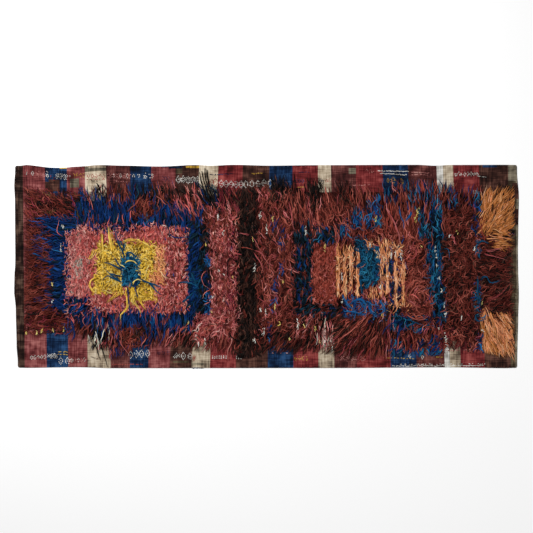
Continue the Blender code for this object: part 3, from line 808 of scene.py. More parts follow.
# Rows of figure, wool, start, end, pitch and what is kept
BROCADES = [
    Brocade(Figure[figure], Wool[wool], tuple(places[:2]), tuple(places[2:]), pitch, kept)
    for figure, wool, *places, pitch, kept in chart_rows("""
DASH SELVEDGE 5 8 4 18 5 0.8
DASH WHITE 12 8 12.4 8 5 1
OVAL WHITE 17.5 8.4 17.5 8.4 5 1
STAR BLUSH 23 9 29 9 5.4 0.6
OVAL WHITE 32 8 32.6 11 3.4 0.7
STAR WHITE 43 11 51 12 4.2 0.75
DASH BRICK 36 12 39 14 3 0.8
DASH WHITE 55 12 56 13 3 0.6
OVAL OCHRE 59 10.5 69 10.5 3.4 0.7
OVAL BRICK 74 11 89 11.5 3.8 0.85
LINE BRICK 72 14.5 90 14.5 2 0.5
LINE SELVEDGE 76 16 82 16.5 1.8 0.8
STAR BLUSH 95 10.5 114 11 4.8 0.75
OVAL WHITE 99 11 113 10.5 6.6 0.7
LINE BLUSH 97 16 112 17 1.8 0.7
OVAL WHITE 119 11 124 10.5 4.6 0.6
STAR WHITE 130 10.5 136 10.5 5.4 0.7
OVAL NAVY 148 13 154 13.5 3.2 0.8
TALL WHITE 163.5 14.6 183 15 4.9 0.85
STAR WHITE 166 14.6 181 15 4.9 0.75
LINE NAVY 196 9.8 203 9.8 1.8 0.9
TALL BRICK 197 17.5 201 17 4 0.8
LINE NAVY 205 9.5 217 8.6 1.8 0.8
TALL WHITE 206 19 226 19.6 5 0.95
TALL WHITE 231 19.4 255 18 5.6 0.9
LINE OCHRE 238 8.6 247 8.2 1.7 0.85
OVAL NAVY 278 16 288 16 3.6 0.9
LINE NAVY 285 7.4 294 7.2 2 0.7
LINE OCHRE 283 22 288 22 1.8 0.7
OVAL NAVY 306 16 308 17 3 0.9
OVAL BRICK 312 16 315 15.5 3 0.9
LINE BLUSH 334 20.6 357 19.8 1.8 0.8
STAR BLUSH 353 7 357 7 4 0.35
OVAL OCHRE 373 15.6 373 15.6 6 1
TALL OCHRE 378 15.6 386.4 17 8.4 0.8
LINE WHITE 364 6 393 6.4 1.4 0.9
LINE WHITE 366 8.4 391 9.8 1.4 0.9
LINE BLUSH 397 7.2 414 8 1.5 0.9
LINE BLUSH 398 9.4 420 10.4 2.2 0.6
OVAL WHITE 441 9 462 9 2.9 0.75
LINE WHITE 440 11 462 8.2 1.9 0.6
LINE WHITE 463 11.4 470 12.4 1.6 0.8
DASH WHITE 459 27 467 28 1.9 0.9
OVAL WHITE 17 192.4 30 192 3.3 0.85
STAR WHITE 35 190.6 41 191 3.6 0.8
TALL WHITE 46 195.6 52.5 196 5.2 0.9
OVAL BLUSH 56 195.4 70 194.6 3.5 0.9
OVAL WHITE 57 195.4 70 194.4 6.6 0.8
LINE OCHRE 44.6 186.8 52 186.8 1.6 0.9
LINE OCHRE 44.6 189.4 52 189.6 1.6 0.6
LINE SELVEDGE 76 192 82 194 1.9 0.8
TALL WHITE 115.6 189.4 121.5 189.2 5.8 0.85
TALL WHITE 126.8 188.6 132.6 188.2 5.6 0.95
LINE BRICK 98 199.6 128 199.4 2 0.6
OVAL NAVY 144 187.4 153 187.6 4.2 0.8
STAR WHITE 161 190.4 163 190.6 3 0.6
TALL WHITE 169 191 175 191.4 5.2 0.95
OVAL BRICK 179 191.6 179 194 2.6 0.9
LINE NAVY 178 203 188 203 1.8 0.9
DASH WHITE 197.6 192.4 211 192 2.1 0.95
DASH WHITE 221.5 192.4 226 192.4 2.2 0.9
LINE OCHRE 223 185 235 185 3.2 0.8
OVAL OCHRE 280.6 193.4 292 193.2 3.6 0.7
LINE BLUSH 255 188 272 188 3 0.4
STAR BLUSH 328 193.4 348 193 5 0.55
LINE OCHRE 371 193 398 193.6 3 0.7
OVAL WHITE 395 190.4 408 192 12 0.9
LINE OCHRE 422 192 427 192 1.8 0.8
LINE BLUSH 424 185.6 461 184.6 1.7 0.7
LINE WHITE 378 201 468 200.6 1.5 0.8
LINE WHITE 386 199.4 470 199 2.2 0.5
DASH GREY 501.6 84 501.8 99 3.1 0.9
DASH GREY 501.4 128 501.4 150 3.4 0.8
DASH SELVEDGE 500.2 76 500.2 112 4.2 0.7
DASH IVORY 501 168 500.6 190 3.6 0.5
DASH SELVEDGE 500 120 499.4 180 4.6 0.6
""")
]


@dataclass(frozen=True)
class PileForm:
    """The height of the pile over the rug: low at its rims, lumpy inside, higher in some fields.

    Attributes:
        loft: the usual height in metres.
        rim_height: the height of locks that lie on bare cloth.
        rise: how far inside the rim the pile has its full height.
        lump_share: how far lumps change the height.
        reach: columns, and the rows that the tips reach there to the north and to the south.
        lap: how many squares of cloth the rims' locks lap, and end_lap at the two ends.
        spill: how far outside its rim the pile starts to rise, in metres.
        west_tips: how far west the tips reach, in columns.
        east_tips: how far east they reach.
        swells: where the pile stands higher or lower, as column, row, reach in squares and metres.
    """

    loft: float = 0.024
    rim_height: float = 0.005
    rise: float = 0.070
    lump_share: float = 0.32
    reach: tuple[tuple[float, float, float], ...] = (
        (10, 20, 170), (50, 21, 172), (72, 21, 184), (95, 16, 196), (120, 16, 188),
        (150, 15, 182), (178, 14, 186), (184, 12, 188), (200, 18, 190), (228, 20, 193),
        (250, 17, 192), (262, 8, 189), (284, 9, 191), (290, 15, 191), (300, 9, 189),
        (312, 13, 188), (345, 14, 198), (366, 13, 196), (440, 13, 190), (466, 17, 188),
        (500, 19, 199),
    )
    lap: float = 8.0
    end_lap: float = 3.0
    spill: float = 0.015
    west_tips: float = 8.5
    east_tips: float = 500.5
    swells: tuple[tuple[float, float, float, float], ...] = (
        (484, 44, 22, 0.010), (482, 172, 24, 0.009), (112, 104, 34, 0.004), (352, 98, 20, 0.004),
        (60, 104, 18, -0.010), (160, 104, 20, -0.004), (210, 104, 26, 0.002), (235, 100, 40, 0.003),
        (345, 140, 24, 0.004), (386, 156, 18, 0.004),
    )

    def lumps(self, x: Array, y: Array) -> Array:
        """Seeded unevenness: a sum of cosines whose waves are 60 to 190 mm long.

        Args:
            x: X in metres.
            y: Y in metres.

        Returns:
            From about -1 to 1 at each place.
        """
        rng = np.random.default_rng(SEED)
        total = np.zeros_like(x)
        for size in np.linspace(0.060, 0.190, 11):
            angle, phase = rng.uniform(0.0, 2.0 * np.pi, 2)
            total += np.cos((x * np.cos(angle) + y * np.sin(angle)) * 2.0 * np.pi / size + phase)
        return total / 3.2

    def tips(self, column: Array) -> tuple[Array, Array]:
        """The northmost and southmost rows that tips reach at each column."""
        columns, north, south = zip(*self.reach)
        return np.interp(column, columns, north), np.interp(column, columns, south)

    def inside(self, x: Array, y: Array) -> Array:
        """How far places lie inside the pile's rim, the least distance to its four sides.

        Args:
            x: X in metres.
            y: Y in metres.

        Returns:
            Metres, less than 0 outside the rim.
        """
        column, row = CHART.column(x), CHART.row(y)
        north, south = self.tips(column)
        squares = np.minimum(np.minimum(row - north, south - row) - self.lap,
                             np.minimum(column - self.west_tips, self.east_tips - column) - self.end_lap)
        return squares * CHART.square

    def height(self, x: Array, y: Array) -> Array:
        """The pile's height: its loft with swells and lumps, eased down to the rim's.

        Args:
            x: X in metres.
            y: Y in metres.

        Returns:
            Metres over the cloth at each place.
        """
        column, row = CHART.column(x), CHART.row(y)
        loft = np.full_like(x, self.loft)
        for at_column, at_row, reach, extra in self.swells:
            away = ((column - at_column) ** 2 + (row - at_row) ** 2) / reach ** 2
            loft += extra * np.exp(-away)
        loft *= 1.0 + self.lump_share * self.lumps(x, y)
        share = smoothstep(-self.spill, self.rise, self.inside(x, y))
        return self.rim_height + (loft - self.rim_height) * share

    def drawn_in(self, path: Array, middle: Array) -> Array:
        """Shifts whole locks inwards until no point is past the rows and columns of the tips.

        Args:
            path: the locks' middle lines, (lock, ring, 2).
            middle: the middle of each, (lock, 2).

        Returns:
            The shifted middle lines.
        """
        north, south = self.tips(CHART.column(middle[:, 0]))
        low = np.stack((np.full(len(path), CHART.x(self.west_tips)), CHART.y(south)), -1)
        high = np.stack((np.full(len(path), CHART.x(self.east_tips)), CHART.y(north)), -1)
        over = np.maximum(path.max(axis=1) - high, 0.0) - np.maximum(low - path.min(axis=1), 0.0)
        return path - over[:, None]


PILE = PileForm()


@dataclass
class Locks:
    """Many locks as arrays, one entry for each lock. All of them have the same number of rings.

    Attributes:
        path: where each lock's middle line runs on the rug, (lock, ring, 2), the last is the tip.
        width: across the thick part.
        layer: its height as a share of the pile's.
        dye: the index of its yarn.
        shade: from 0, deep, to 1, pale.
    """

    path: Array
    width: Array
    layer: Array
    dye: Array
    shade: Array

    @property
    def middle(self) -> Array:
        """The place half way along each lock."""
        return self.path[:, self.path.shape[1] // 2]

    def pick(self, chosen: Array) -> "Locks":
        """Only the chosen locks."""
        return Locks(*(array[chosen] for array in astuple(self)))


def joined(groups: list[Locks]) -> list[Locks]:
    """Joins groups of locks that have the same number of rings.

    Args:
        groups: any groups.

    Returns:
        One group for each number of rings.
    """
    made = []
    for rings in sorted({group.path.shape[1] for group in groups}):
        same = [astuple(group) for group in groups if group.path.shape[1] == rings]
        made.append(Locks(*(np.concatenate(arrays) for arrays in zip(*same))))
    return made


# How high single strands and flecks lie, as shares of the pile's height
TOP_LAYER = (1.0, 1.12)


@dataclass
class Planting:
    """Ties the locks of every patch into the chart.

    Attributes:
        usual: locks for each chart square at a density of 1.
        length_spread: how much the lengths vary.
        width_spread: how much the widths vary.
        shade_spread: how much the yarns' shades vary.
        mean_shade: the usual shade.
        clump_blur: how far the borders of clumps are blurred, as a share of a clump.
        odd_lock: the share of locks whose dye isn't their clump's.
        fleck_length, fleck_width: the size of a fleck's locks, next to the usual.
    """

    usual: float = 0.198
    length_spread: float = 0.22
    width_spread: float = 0.22
    shade_spread: float = 0.19
    mean_shade: float = 0.49
    clump_blur: float = 0.16
    odd_lock: float = 0.25
    fleck_length: float = 0.6
    fleck_width: float = 0.75
    rng: np.random.Generator = field(default_factory=lambda: np.random.default_rng(SEED))

    def places(self, order: int, patch: Patch) -> Array:
        """Chart places for a patch's locks, evenly jittered, clear of later patches.

        Args:
            order: the patch's place in the table.
            patch: the patch.

        Returns:
            Columns and rows, (lock, 2).
        """
        wide, tall = patch.east - patch.west, patch.south - patch.north
        step = 1.0 / math.sqrt(self.usual * patch.density)
        across, down = max(1, round(wide / step)), max(1, round(tall / step))
        grid = np.stack(np.meshgrid(np.arange(across), np.arange(down)), -1).reshape(-1, 2)
        share = (grid + self.rng.uniform(0.0, 1.0, grid.shape)) / (across, down)
        spot = share * (wide, tall) + (patch.west, patch.north)
        free = np.ones(len(spot), bool)
        if not patch.over:
            for later in PATCHES[order + 1:]:
                if not later.over:
                    free &= ~later.holds(*spot.T)
        return spot[free] + self.rng.normal(0.0, patch.ragged, (int(free.sum()), 2))

    def grow(self, patch: Patch, spot: Array) -> Locks:
        """Grows one patch's locks with their middles at the given chart places.

        A lock's heading starts at the patch's flow, turns steadily by its bend and swings in
        waves, and its path is the running sum of equal steps along that heading. Locks in the
        same clump draw most of their numbers together, and their tips gather at its middle line.

        Args:
            patch: the patch.
            spot: columns and rows, (lock, 2).

        Returns:
            The locks.
        """
        lay, rng, count = patch.lay.value, self.rng, len(spot)
        middle = CHART.places(spot)
        cell = np.floor(spot / lay.clump + rng.normal(0.0, self.clump_blur, spot.shape)).astype(int)
        clump = np.unique(cell, axis=0, return_inverse=True)[1].ravel()
        total = int(clump.max(initial=0)) + 1

        def shared(own: float) -> Array:
            """A normal draw for each clump, with a smaller one for each lock."""
            return rng.normal(size=total)[clump] + own * rng.normal(size=count)

        def within(low: float, high: float) -> Array:
            """An even draw for each clump."""
            return rng.uniform(low, high, total)[clump]

        flow = np.full(count, math.radians(patch.flow))
        if patch.fan is not None:
            away = middle - (CHART.x(patch.fan[0]), CHART.y(patch.fan[1]))
            flow = np.arctan2(away[:, 1], away[:, 0]) + math.radians(patch.turn)
        if lay.spread >= 180.0:
            heading = within(0.0, 2.0 * np.pi) + rng.normal(0.0, 0.4, count)
        else:
            heading = flow + np.radians(lay.spread) * 0.75 * shared(own=0.35)
        length = lay.length * np.exp(self.length_spread * 0.75 * shared(own=0.8))
        bend = np.radians(lay.bend) * 0.6 * shared(own=0.4)
        if patch.turn and patch.fan is not None:
            bend += np.sin(math.radians(patch.turn)) * length / np.maximum(np.hypot(*away.T), 0.05)
        curl = np.radians(lay.curl) * within(0.35, 1.25)
        wave = lay.wave * within(0.75, 1.35)
        phase = within(0.0, 2.0 * np.pi) + rng.normal(0.0, 0.4, count)
        steps = (np.arange(lay.rings) + 0.5) / lay.rings
        swing = np.sin(2.0 * np.pi * (length / wave)[:, None] * steps + phase[:, None])
        turned = heading[:, None] + bend[:, None] * (steps - 0.5) + curl[:, None] * swing
        pace = (length / lay.rings)[:, None, None]
        path = np.cumsum(np.stack((np.cos(turned), np.sin(turned)), -1) * pace, axis=1)
        path = np.concatenate((np.zeros((count, 1, 2)), path), axis=1)
        path += (middle - path[:, (lay.rings + 1) // 2])[:, None]
        members = np.maximum(np.bincount(clump, minlength=total), 1)
        heart = np.stack([np.bincount(clump, middle[:, axis], total) / members for axis in (0, 1)], -1)
        gather = lay.gather * smoothstep(0.1, 1.0, np.linspace(0.0, 1.0, lay.rings + 1))
        path -= gather[None, :, None] * (middle - heart[clump])[:, None]
        moved = lay.stray * rng.normal(size=total)[clump]
        path += (np.stack((np.cos(heading), np.sin(heading)), -1) * moved[:, None])[:, None]
        parts = patch.mix.parts
        weights = np.array(list(parts.values()))
        dyes, odds = [DYES.index(d) for d in parts], weights / weights.sum()
        dye = rng.choice(dyes, total, p=odds)[clump]
        dye = np.where(rng.uniform(size=count) < self.odd_lock, rng.choice(dyes, count, p=odds), dye)
        share = 0.6 * within(0.0, 1.0) + 0.4 * rng.uniform(0.0, 1.0, count)
        layer = lay.low + (lay.high - lay.low) * share
        thinning = 1.32 - 0.42 * layer
        width = lay.width * np.exp(rng.normal(0.0, self.width_spread, count)) * thinning
        varied = self.shade_spread * patch.even * 0.74 * shared(own=1.15)
        shade = np.clip(self.mean_shade + varied, 0.03, 0.97)
        return Locks(PILE.drawn_in(path, middle), width, layer, dye, shade)

    def patches(self) -> list[Locks]:
        """All the patches' locks."""
        return [self.grow(patch, self.places(order, patch)) for order, patch in enumerate(PATCHES)]

    def strands(self) -> list[Locks]:
        """The long single strands, on smooth curves through their places.

        Returns:
            One group of locks.
        """
        t = np.linspace(0.0, 1.0, 11)
        paths, sizes = [], []
        for kind in STRANDS:
            for places in kind.routes * kind.bundle:
                knots = np.linspace(0.0, 1.0, len(places))
                path = np.stack([smooth_curve(knots, places[:, axis], t) for axis in (0, 1)], -1)
                aside = self.rng.normal(0.0, kind.loose, 2) * (1.0 - 0.6 * t[:, None])
                paths.append(path + aside + self.rng.normal(0.0, 0.16, path.shape))
                sizes.append((kind.width, kind.shade, DYES.index(kind.dye)))
        width, shade, dye = np.array(sizes).T
        shade = shade + self.rng.normal(0.0, 0.06, len(paths))
        layer = self.rng.uniform(*TOP_LAYER, len(paths))
        return [Locks(CHART.places(np.array(paths)), width, layer, dye.astype(int), shade)]

    def flecks(self) -> list[Locks]:
        """The pale yarn ends: short locks piled at each fleck's place.

        Returns:
            A group of locks for each fleck.
        """
        groups = []
        for fleck in FLECKS:
            count = max(3, round(fleck.tall))
            spot = self.rng.normal(0.0, 1.0, (count, 2)) * (0.45, 0.30 * fleck.tall)
            patch = Patch(0, 1, 0, 1, 84, Lay.RIBBED, Mix.WISPS)
            locks = self.grow(patch, spot + (fleck.column, fleck.row))
            middle = locks.middle[:, None].copy()
            locks.path = middle + (locks.path - middle) * self.fleck_length
            locks.dye[:] = DYES.index(fleck.dye)
            locks.width *= self.fleck_width
            locks.layer[:] = self.rng.uniform(*TOP_LAYER, count)
            locks.shade[:] = self.rng.uniform(0.5, 0.9, count)
            groups.append(locks)
        return groups


def smooth_curve(knots: Array, values: Array, t: Array) -> Array:
    """Reads a smooth curve through values: cubic pieces whose slopes join the neighbours.

    Args:
        knots: the rising parameter of each value.
        values: what the curve passes.
        t: where it is read.

    Returns:
        The curve at each t.
    """
    slopes = np.gradient(values, knots)
    piece = np.clip(np.searchsorted(knots, t, "right") - 1, 0, len(knots) - 2)
    gap = knots[piece + 1] - knots[piece]
    u = (t - knots[piece]) / gap
    start, end = values[piece], values[piece + 1]
    rise, fall = slopes[piece] * gap, slopes[piece + 1] * gap
    return ((2 * u ** 3 - 3 * u ** 2 + 1) * start + (u ** 3 - 2 * u ** 2 + u) * rise
            + (3 * u ** 2 - 2 * u ** 3) * end + (u ** 3 - u ** 2) * fall)


@dataclass
class Shell:
    """A mesh as arrays before it goes into Blender.

    Attributes:
        points: (point, 3).
        faces: one array for each number of corners, (face, corner).
        maps: for each UV map, one array for each entry of faces, (face, corner, 2).
        slots: the material index of each face, in the order of faces.
        shade: one value for each point.
    """

    points: Array
    faces: list[Array]
    maps: dict[str, list[Array]]
    slots: list[Array]
    shade: Array

    @staticmethod
    def merged(shells: list["Shell"]) -> "Shell":
        """Joins several shells into one.

        Args:
            shells: shells with the same names of maps.

        Returns:
            One shell that holds all their faces.
        """
        offsets = np.cumsum([0] + [len(shell.points) for shell in shells])
        faces: list[Array] = []
        slots: list[Array] = []
        maps: dict[str, list[Array]] = {name: [] for name in shells[0].maps}
        for shell, offset in zip(shells, offsets):
            faces += [part + offset for part in shell.faces]
            slots += shell.slots
            for name in maps:
                maps[name] += shell.maps[name]
        return Shell(np.concatenate([shell.points for shell in shells]), faces, maps, slots,
                     np.concatenate([shell.shade for shell in shells]))

    def to_object(self, name: str, materials: list[Material]) -> Object:
        """Puts the arrays into a smooth-shaded object at the origin.

        Args:
            name: the object's name.
            materials: what the slots' numbers stand for. Only the used ones go on.

        Returns:
            The object, linked to the scene.
        """
        mesh = bpy.data.meshes.new(name)
        totals = np.concatenate([np.full(len(part), part.shape[1]) for part in self.faces])
        corners = np.concatenate([part.ravel() for part in self.faces])
        mesh.vertices.add(len(self.points))
        mesh.vertices.foreach_set("co", self.points.astype(np.float32).ravel())
        mesh.loops.add(len(corners))
        mesh.loops.foreach_set("vertex_index", corners.astype(np.int32))
        mesh.polygons.add(len(totals))
        starts = np.concatenate(([0], np.cumsum(totals)[:-1]))
        mesh.polygons.foreach_set("loop_start", starts.astype(np.int32))
        used, slot = np.unique(np.concatenate(self.slots), return_inverse=True)
        mesh.polygons.foreach_set("material_index", slot.astype(np.int32))
        mesh.update(calc_edges=True)
        mesh.validate()
        mesh.shade_smooth()
        for map_name, parts in self.maps.items():
            layer = mesh.uv_layers.new(name=map_name)
            flat = np.concatenate([part.reshape(-1, 2) for part in parts])
            layer.uv.foreach_set("vector", flat.astype(np.float32).ravel())
        shade = mesh.attributes.new("shade", "FLOAT", "POINT")
        shade.data.foreach_set("value", self.shade.astype(np.float32))
        for number in used:
            mesh.materials.append(materials[number])
        obj = bpy.data.objects.new(name, mesh)
        bpy.context.scene.collection.objects.link(obj)
        return obj


# The share of the atlas along its lower edge that the felt takes
FELT_STRIP = 0.10

# How far the locks and the felt stay above the cloth, in metres
CLEAR = 0.0002


@dataclass(frozen=True)
class LockForm:
    """The solid form that a lock gets round its path: a three-sided tapered tube.

    Attributes:
        flat: its thickness as a share of its width.
        twist: how far it turns about itself, in radians.
        root: its width at the knot, as a share of the full width.
        tip: its width at the last ring, as a share.
        climb: the share of its length in which it climbs to its layer.
        sink: how far its tip sinks, as a share of its height.
        root_painted_shade: how much darker its root is, painted shade at the foot of the pile.
        tip_pale: how much paler its tip is.
        low_painted_shade: how much darker it is for each share of the pile's height that it lies lower,
            painted shade, and lighter above 0.8 of that height, painted light.
        filled, margin: the shares of its atlas cell that it fills and leaves, across and up.
    """

    flat: float = 0.62
    twist: float = 2.2
    root: float = 0.55
    tip: float = 0.22
    climb: float = 0.09
    sink: float = 0.22
    root_painted_shade: float = 0.30
    tip_pale: float = 0.10
    low_painted_shade: float = 0.50
    filled: tuple[float, float] = (0.84, 0.92)
    margin: tuple[float, float] = (0.08, 0.04)

    def centres(self, locks: Locks) -> Array:
        """The middle line of each lock in space.

        A lock leaves the cloth at its knot, climbs within a tenth of its length to its own
        layer of the pile, follows the pile's height from there, and sinks a little at its tip.

        Args:
            locks: the locks.

        Returns:
            (lock, ring, 3).
        """
        t = np.linspace(0.0, 1.0, locks.path.shape[1])
        x, y = locks.path[..., 0], locks.path[..., 1]
        climb = 1.0 - np.exp(-t / self.climb)
        sink = 1.0 - self.sink * t ** 3
        z = PILE.height(x, y) * locks.layer[:, None] * climb * sink
        z += CLOTH_TOP + 0.5 * self.flat * locks.width[:, None]
        return np.stack((x, y, z), -1)

    def shell(self, locks: Locks, rng: np.random.Generator, cell: Array,
              cells: tuple[int, int]) -> Shell:
        """Skins locks that share a number of rings.

        Each ring is three points round the middle line, on an ellipse that lies flat and turns
        slowly. The last point is the tip. The width swells from the knot and tapers to the tip.

        Args:
            locks: the locks.
            rng: where the start of each twist comes from.
            cell: each lock's cell in the atlas.
            cells: how many cells the atlas has across and up.

        Returns:
            The shell, with the maps for the atlas and for fibres along the lock.
        """
        middle = self.centres(locks)
        count, rings = middle.shape[0], middle.shape[1] - 1
        ahead = np.gradient(middle, axis=1)
        ahead /= np.linalg.norm(ahead, axis=2, keepdims=True) + 1e-12
        side = np.stack((ahead[..., 1], -ahead[..., 0], np.zeros(ahead.shape[:2])), -1)
        side /= np.linalg.norm(side, axis=2, keepdims=True) + 1e-12
        up = np.cross(side, ahead)
        t = np.linspace(0.0, 1.0, rings + 1)
        swell = self.root + (1.0 - self.root) * smoothstep(0.0, 0.25, t)
        taper = 1.0 - (1.0 - self.tip) * smoothstep(0.45, 1.0, t)
        half = 0.5 * locks.width[:, None] * swell * taper
        start = rng.uniform(0.0, 2.0 * np.pi, count)[:, None]
        turn = start + self.twist * t * rng.uniform(-1.0, 1.0, count)[:, None]
        angle = turn[..., None] + np.arange(3) * (2.0 * np.pi / 3.0)
        ring = (middle[:, :, None] + side[:, :, None] * (np.cos(angle) * half[..., None])[..., None]
                + up[:, :, None] * (np.sin(angle) * half[..., None] * self.flat)[..., None])
        ring[..., 2] = np.maximum(ring[..., 2], CLOTH_TOP + CLEAR)
        points = np.concatenate((ring[:, :rings].reshape(count, -1, 3), middle[:, rings:]), axis=1)
        per_lock = 3 * rings + 1
        first = (np.arange(count) * per_lock)[:, None]
        along = np.arange(rings - 1)[:, None] * 3
        k, after = np.arange(3), (np.arange(3) + 1) % 3
        quad = np.stack((along + k, along + k + 3, along + after + 3, along + after), -1)
        quads = (first[:, :, None] + quad.reshape(-1, 4)).reshape(-1, 4)
        last = 3 * (rings - 1)
        ends = np.stack((last + k, np.full(3, 3 * rings), last + after), -1)
        ends = np.concatenate((ends, [[0, 1, 2]]))
        tris = (first[:, :, None] + ends).reshape(-1, 3)
        maps = self.maps(locks, rings, cell, cells)
        slots = [np.repeat(locks.dye, 3 * (rings - 1)), np.repeat(locks.dye, 4)]
        # Painted shade: each lock's root is darker, deep in the pile where shade falls
        root_painted_shade = -self.root_painted_shade * (1.0 - smoothstep(0.0, 0.35, t))
        # Painted shade darkens locks that lie low in the pile, and painted light brightens those near
        # its top
        painted_layer_light = self.low_painted_shade * (np.clip(locks.layer, 0.2, 1.1)[:, None] - 0.80)
        shade = locks.shade[:, None] + root_painted_shade + self.tip_pale * smoothstep(0.5, 1.0, t) + painted_layer_light
        shade = shade + rng.normal(0.0, 0.035, shade.shape)
        values = np.concatenate((np.repeat(shade[:, :rings], 3, axis=1), shade[:, rings:]), axis=1)
        return Shell(points.reshape(-1, 3), [quads, tris], maps, slots,
                     np.clip(values, 0.0, 1.0).ravel())

    def maps(self, locks: Locks, rings: int, cell: Array,
             cells: tuple[int, int]) -> dict[str, list[Array]]:
        """The two UV maps of locks: cells of an atlas, and metres along and round the lock.

        Args:
            locks: the locks.
            rings: how many rings each has.
            cell: each lock's cell in the atlas.
            cells: how many cells the atlas has across and up.

        Returns:
            For each map, the corners of the quads and then of the triangles.
        """
        v, u = np.meshgrid(np.arange(rings - 1) / rings, np.arange(3) / 3.0, indexing="ij")
        right, up = u + 1 / 3, v + 1.0 / rings
        quad = np.stack((u, v, u, up, right, up, right, v), -1).reshape(-1, 4, 2)
        top = 1.0 - 1.0 / rings
        tri = np.array([((k, top), (k + 1 / 6, 1.0), (k + 1 / 3, top)) for k in np.arange(3) / 3.0]
                       + [((0.0, 0.0), (0.5, 0.02), (1.0, 0.0))])
        corner = np.stack((cell % cells[0], cell // cells[0]), -1) / cells
        scale, inset = np.array(self.filled) / cells, np.array(self.margin) / cells
        atlas = [((corner + inset)[:, None, None] + part * scale) * (1.0, 1.0 - FELT_STRIP)
                 + (0.0, FELT_STRIP) for part in (quad, tri)]
        # Metres round and along a lock, shifted so that no two locks show the same fibres
        real = np.stack((3.0 * locks.width, np.full(len(locks.width), CHART.square * 20.0)), -1)
        offset = np.stack((locks.shade * 7.0, locks.layer * 11.0), -1)
        strand = [part * real[:, None, None] + offset[:, None, None] for part in (quad, tri)]
        return {ATLAS_MAP: [part.reshape(-1, part.shape[2], 2) for part in atlas],
                STRAND_MAP: [part.reshape(-1, part.shape[2], 2) for part in strand]}


# Yarns whose felt isn't in deep shade
PALE_DYES = [DYES.index(dye) for dye in (Dye.CORAL, Dye.BLUSH, Dye.ROSE, Dye.YELLOW, Dye.BRICK)]


@dataclass(frozen=True)
class Felt:
    """The felted lower ends of the locks: a lumpy layer low in the pile, so no cloth shows, coloured
    with painted shade between the locks.

    Attributes:
        cell: the side of its squares, in metres.
        share: its height as a share of the pile's.
        least: its least height over the cloth, in metres.
        held_back: how far inside the pile's rim it starts.
        rows: the chart's rows that it lies between.
        rough: the height of its small lumps, in metres.
        finer: how many times smaller they are than the pile's.
        pale, deep: its painted shade under pale yarns and under the others.
    """

    cell: float = 0.026
    share: float = 0.34
    least: float = 0.0004
    held_back: float = 0.046
    rows: tuple[float, float] = (18.0, 192.0)
    rough: float = 0.0012
    finer: float = 3.1
    pale: float = 0.26
    deep: float = 0.04

    def shells(self, owners: "Owners") -> dict[str, Shell]:
        """Makes each field's part of the felt.

        Args:
            owners: says which field each place belongs to.

        Returns:
            One shell for each field, under the field's name.
        """
        low, high = CHART.x(PILE.west_tips), CHART.x(PILE.east_tips)
        xs = np.arange(low, high, self.cell)
        ys = np.arange(CHART.y(self.rows[1]), CHART.y(self.rows[0]), self.cell)
        x, y = np.meshgrid(xs, ys, indexing="ij")
        rough = PILE.lumps(x * self.finer + 1.0, y * self.finer) * self.rough
        z = CLOTH_TOP + self.least + np.maximum(PILE.height(x, y) * self.share + rough, 0.0)
        index = np.arange(x.size).reshape(x.shape)
        quads = np.stack((index[:-1, :-1], index[1:, :-1], index[1:, 1:], index[:-1, 1:]), -1)
        quads = quads.reshape(-1, 4)
        points = np.stack((x, y, z), -1).reshape(-1, 3)
        middle = points[quads].mean(axis=1)
        kept = PILE.inside(middle[:, 0], middle[:, 1]) > self.held_back
        quads, middle = quads[kept], middle[kept]
        dye = self.dyes(middle)
        owner = owners.of(middle[:, :2])
        shells = {}
        for number, name in enumerate(owners.names):
            mine = quads[owner == number]
            used, local = np.unique(mine, return_inverse=True)
            at = points[used]
            # The top fills the felt's strip of the atlas, and foot and walls a sliver beside it
            span = at.max(axis=0) - at.min(axis=0) + 1e-9
            flat = (at - at.min(axis=0))[:, :2] / span[:2] * (0.96, FELT_STRIP * 0.8)
            flat = flat + (0.02, FELT_STRIP * 0.08)
            margin = flat * (0.0125, 1.0) + (0.004, 0.0)
            local = local.reshape(-1, 4)
            top_dye = dye[owner == number]
            wall, beside = self.walls(local, len(at))
            below = np.concatenate((local[:, ::-1] + len(at), wall))
            faces = np.concatenate((local, below))
            feet = at * (1.0, 1.0, 0.0) + (0.0, 0.0, CLOTH_TOP + CLEAR)
            atlas = np.concatenate((flat[local], margin[below % len(at)]))
            # The felt's colour is painted shade between the locks, less deep under pale yarns
            shade = np.where(np.isin(self.dyes(at), PALE_DYES), self.pale, self.deep)
            shells[name] = Shell(
                np.concatenate((at, feet)), [faces],
                {ATLAS_MAP: [atlas], STRAND_MAP: [at[:, :2][faces % len(at)]]},
                [np.concatenate((top_dye, top_dye, top_dye[beside]))], np.tile(shade, 2))
        return shells

    @staticmethod
    def walls(quads: Array, count: int) -> tuple[Array, Array]:
        """Finds the sides that no other square runs along the other way, and walls them.

        Args:
            quads: the top's squares.
            count: how many points the top has. Each one's foot has that much higher a number.

        Returns:
            The walls, and the square that each of them belongs to.
        """
        sides = np.stack((quads, np.roll(quads, -1, axis=1)), -1).reshape(-1, 2)
        free = ~np.isin(sides @ (count, 1), sides @ (1, count))
        start, end = sides[free].T
        return (np.stack((end, start, start + count, end + count), -1),
                np.flatnonzero(free) // 4)

    @staticmethod
    def dyes(middle: Array) -> Array:
        """The main yarn of the patch at each place.

        Args:
            middle: places, (face, 3).

        Returns:
            Indices of yarns.
        """
        column, row = CHART.column(middle[:, 0]), CHART.row(middle[:, 1])
        dye = np.full(len(middle), DYES.index(Dye.DEEP_MADDER))
        for patch in PATCHES:
            if not patch.over:
                parts = patch.mix.parts
                dye[patch.holds(column, row)] = DYES.index(max(parts, key=parts.get))
        return dye


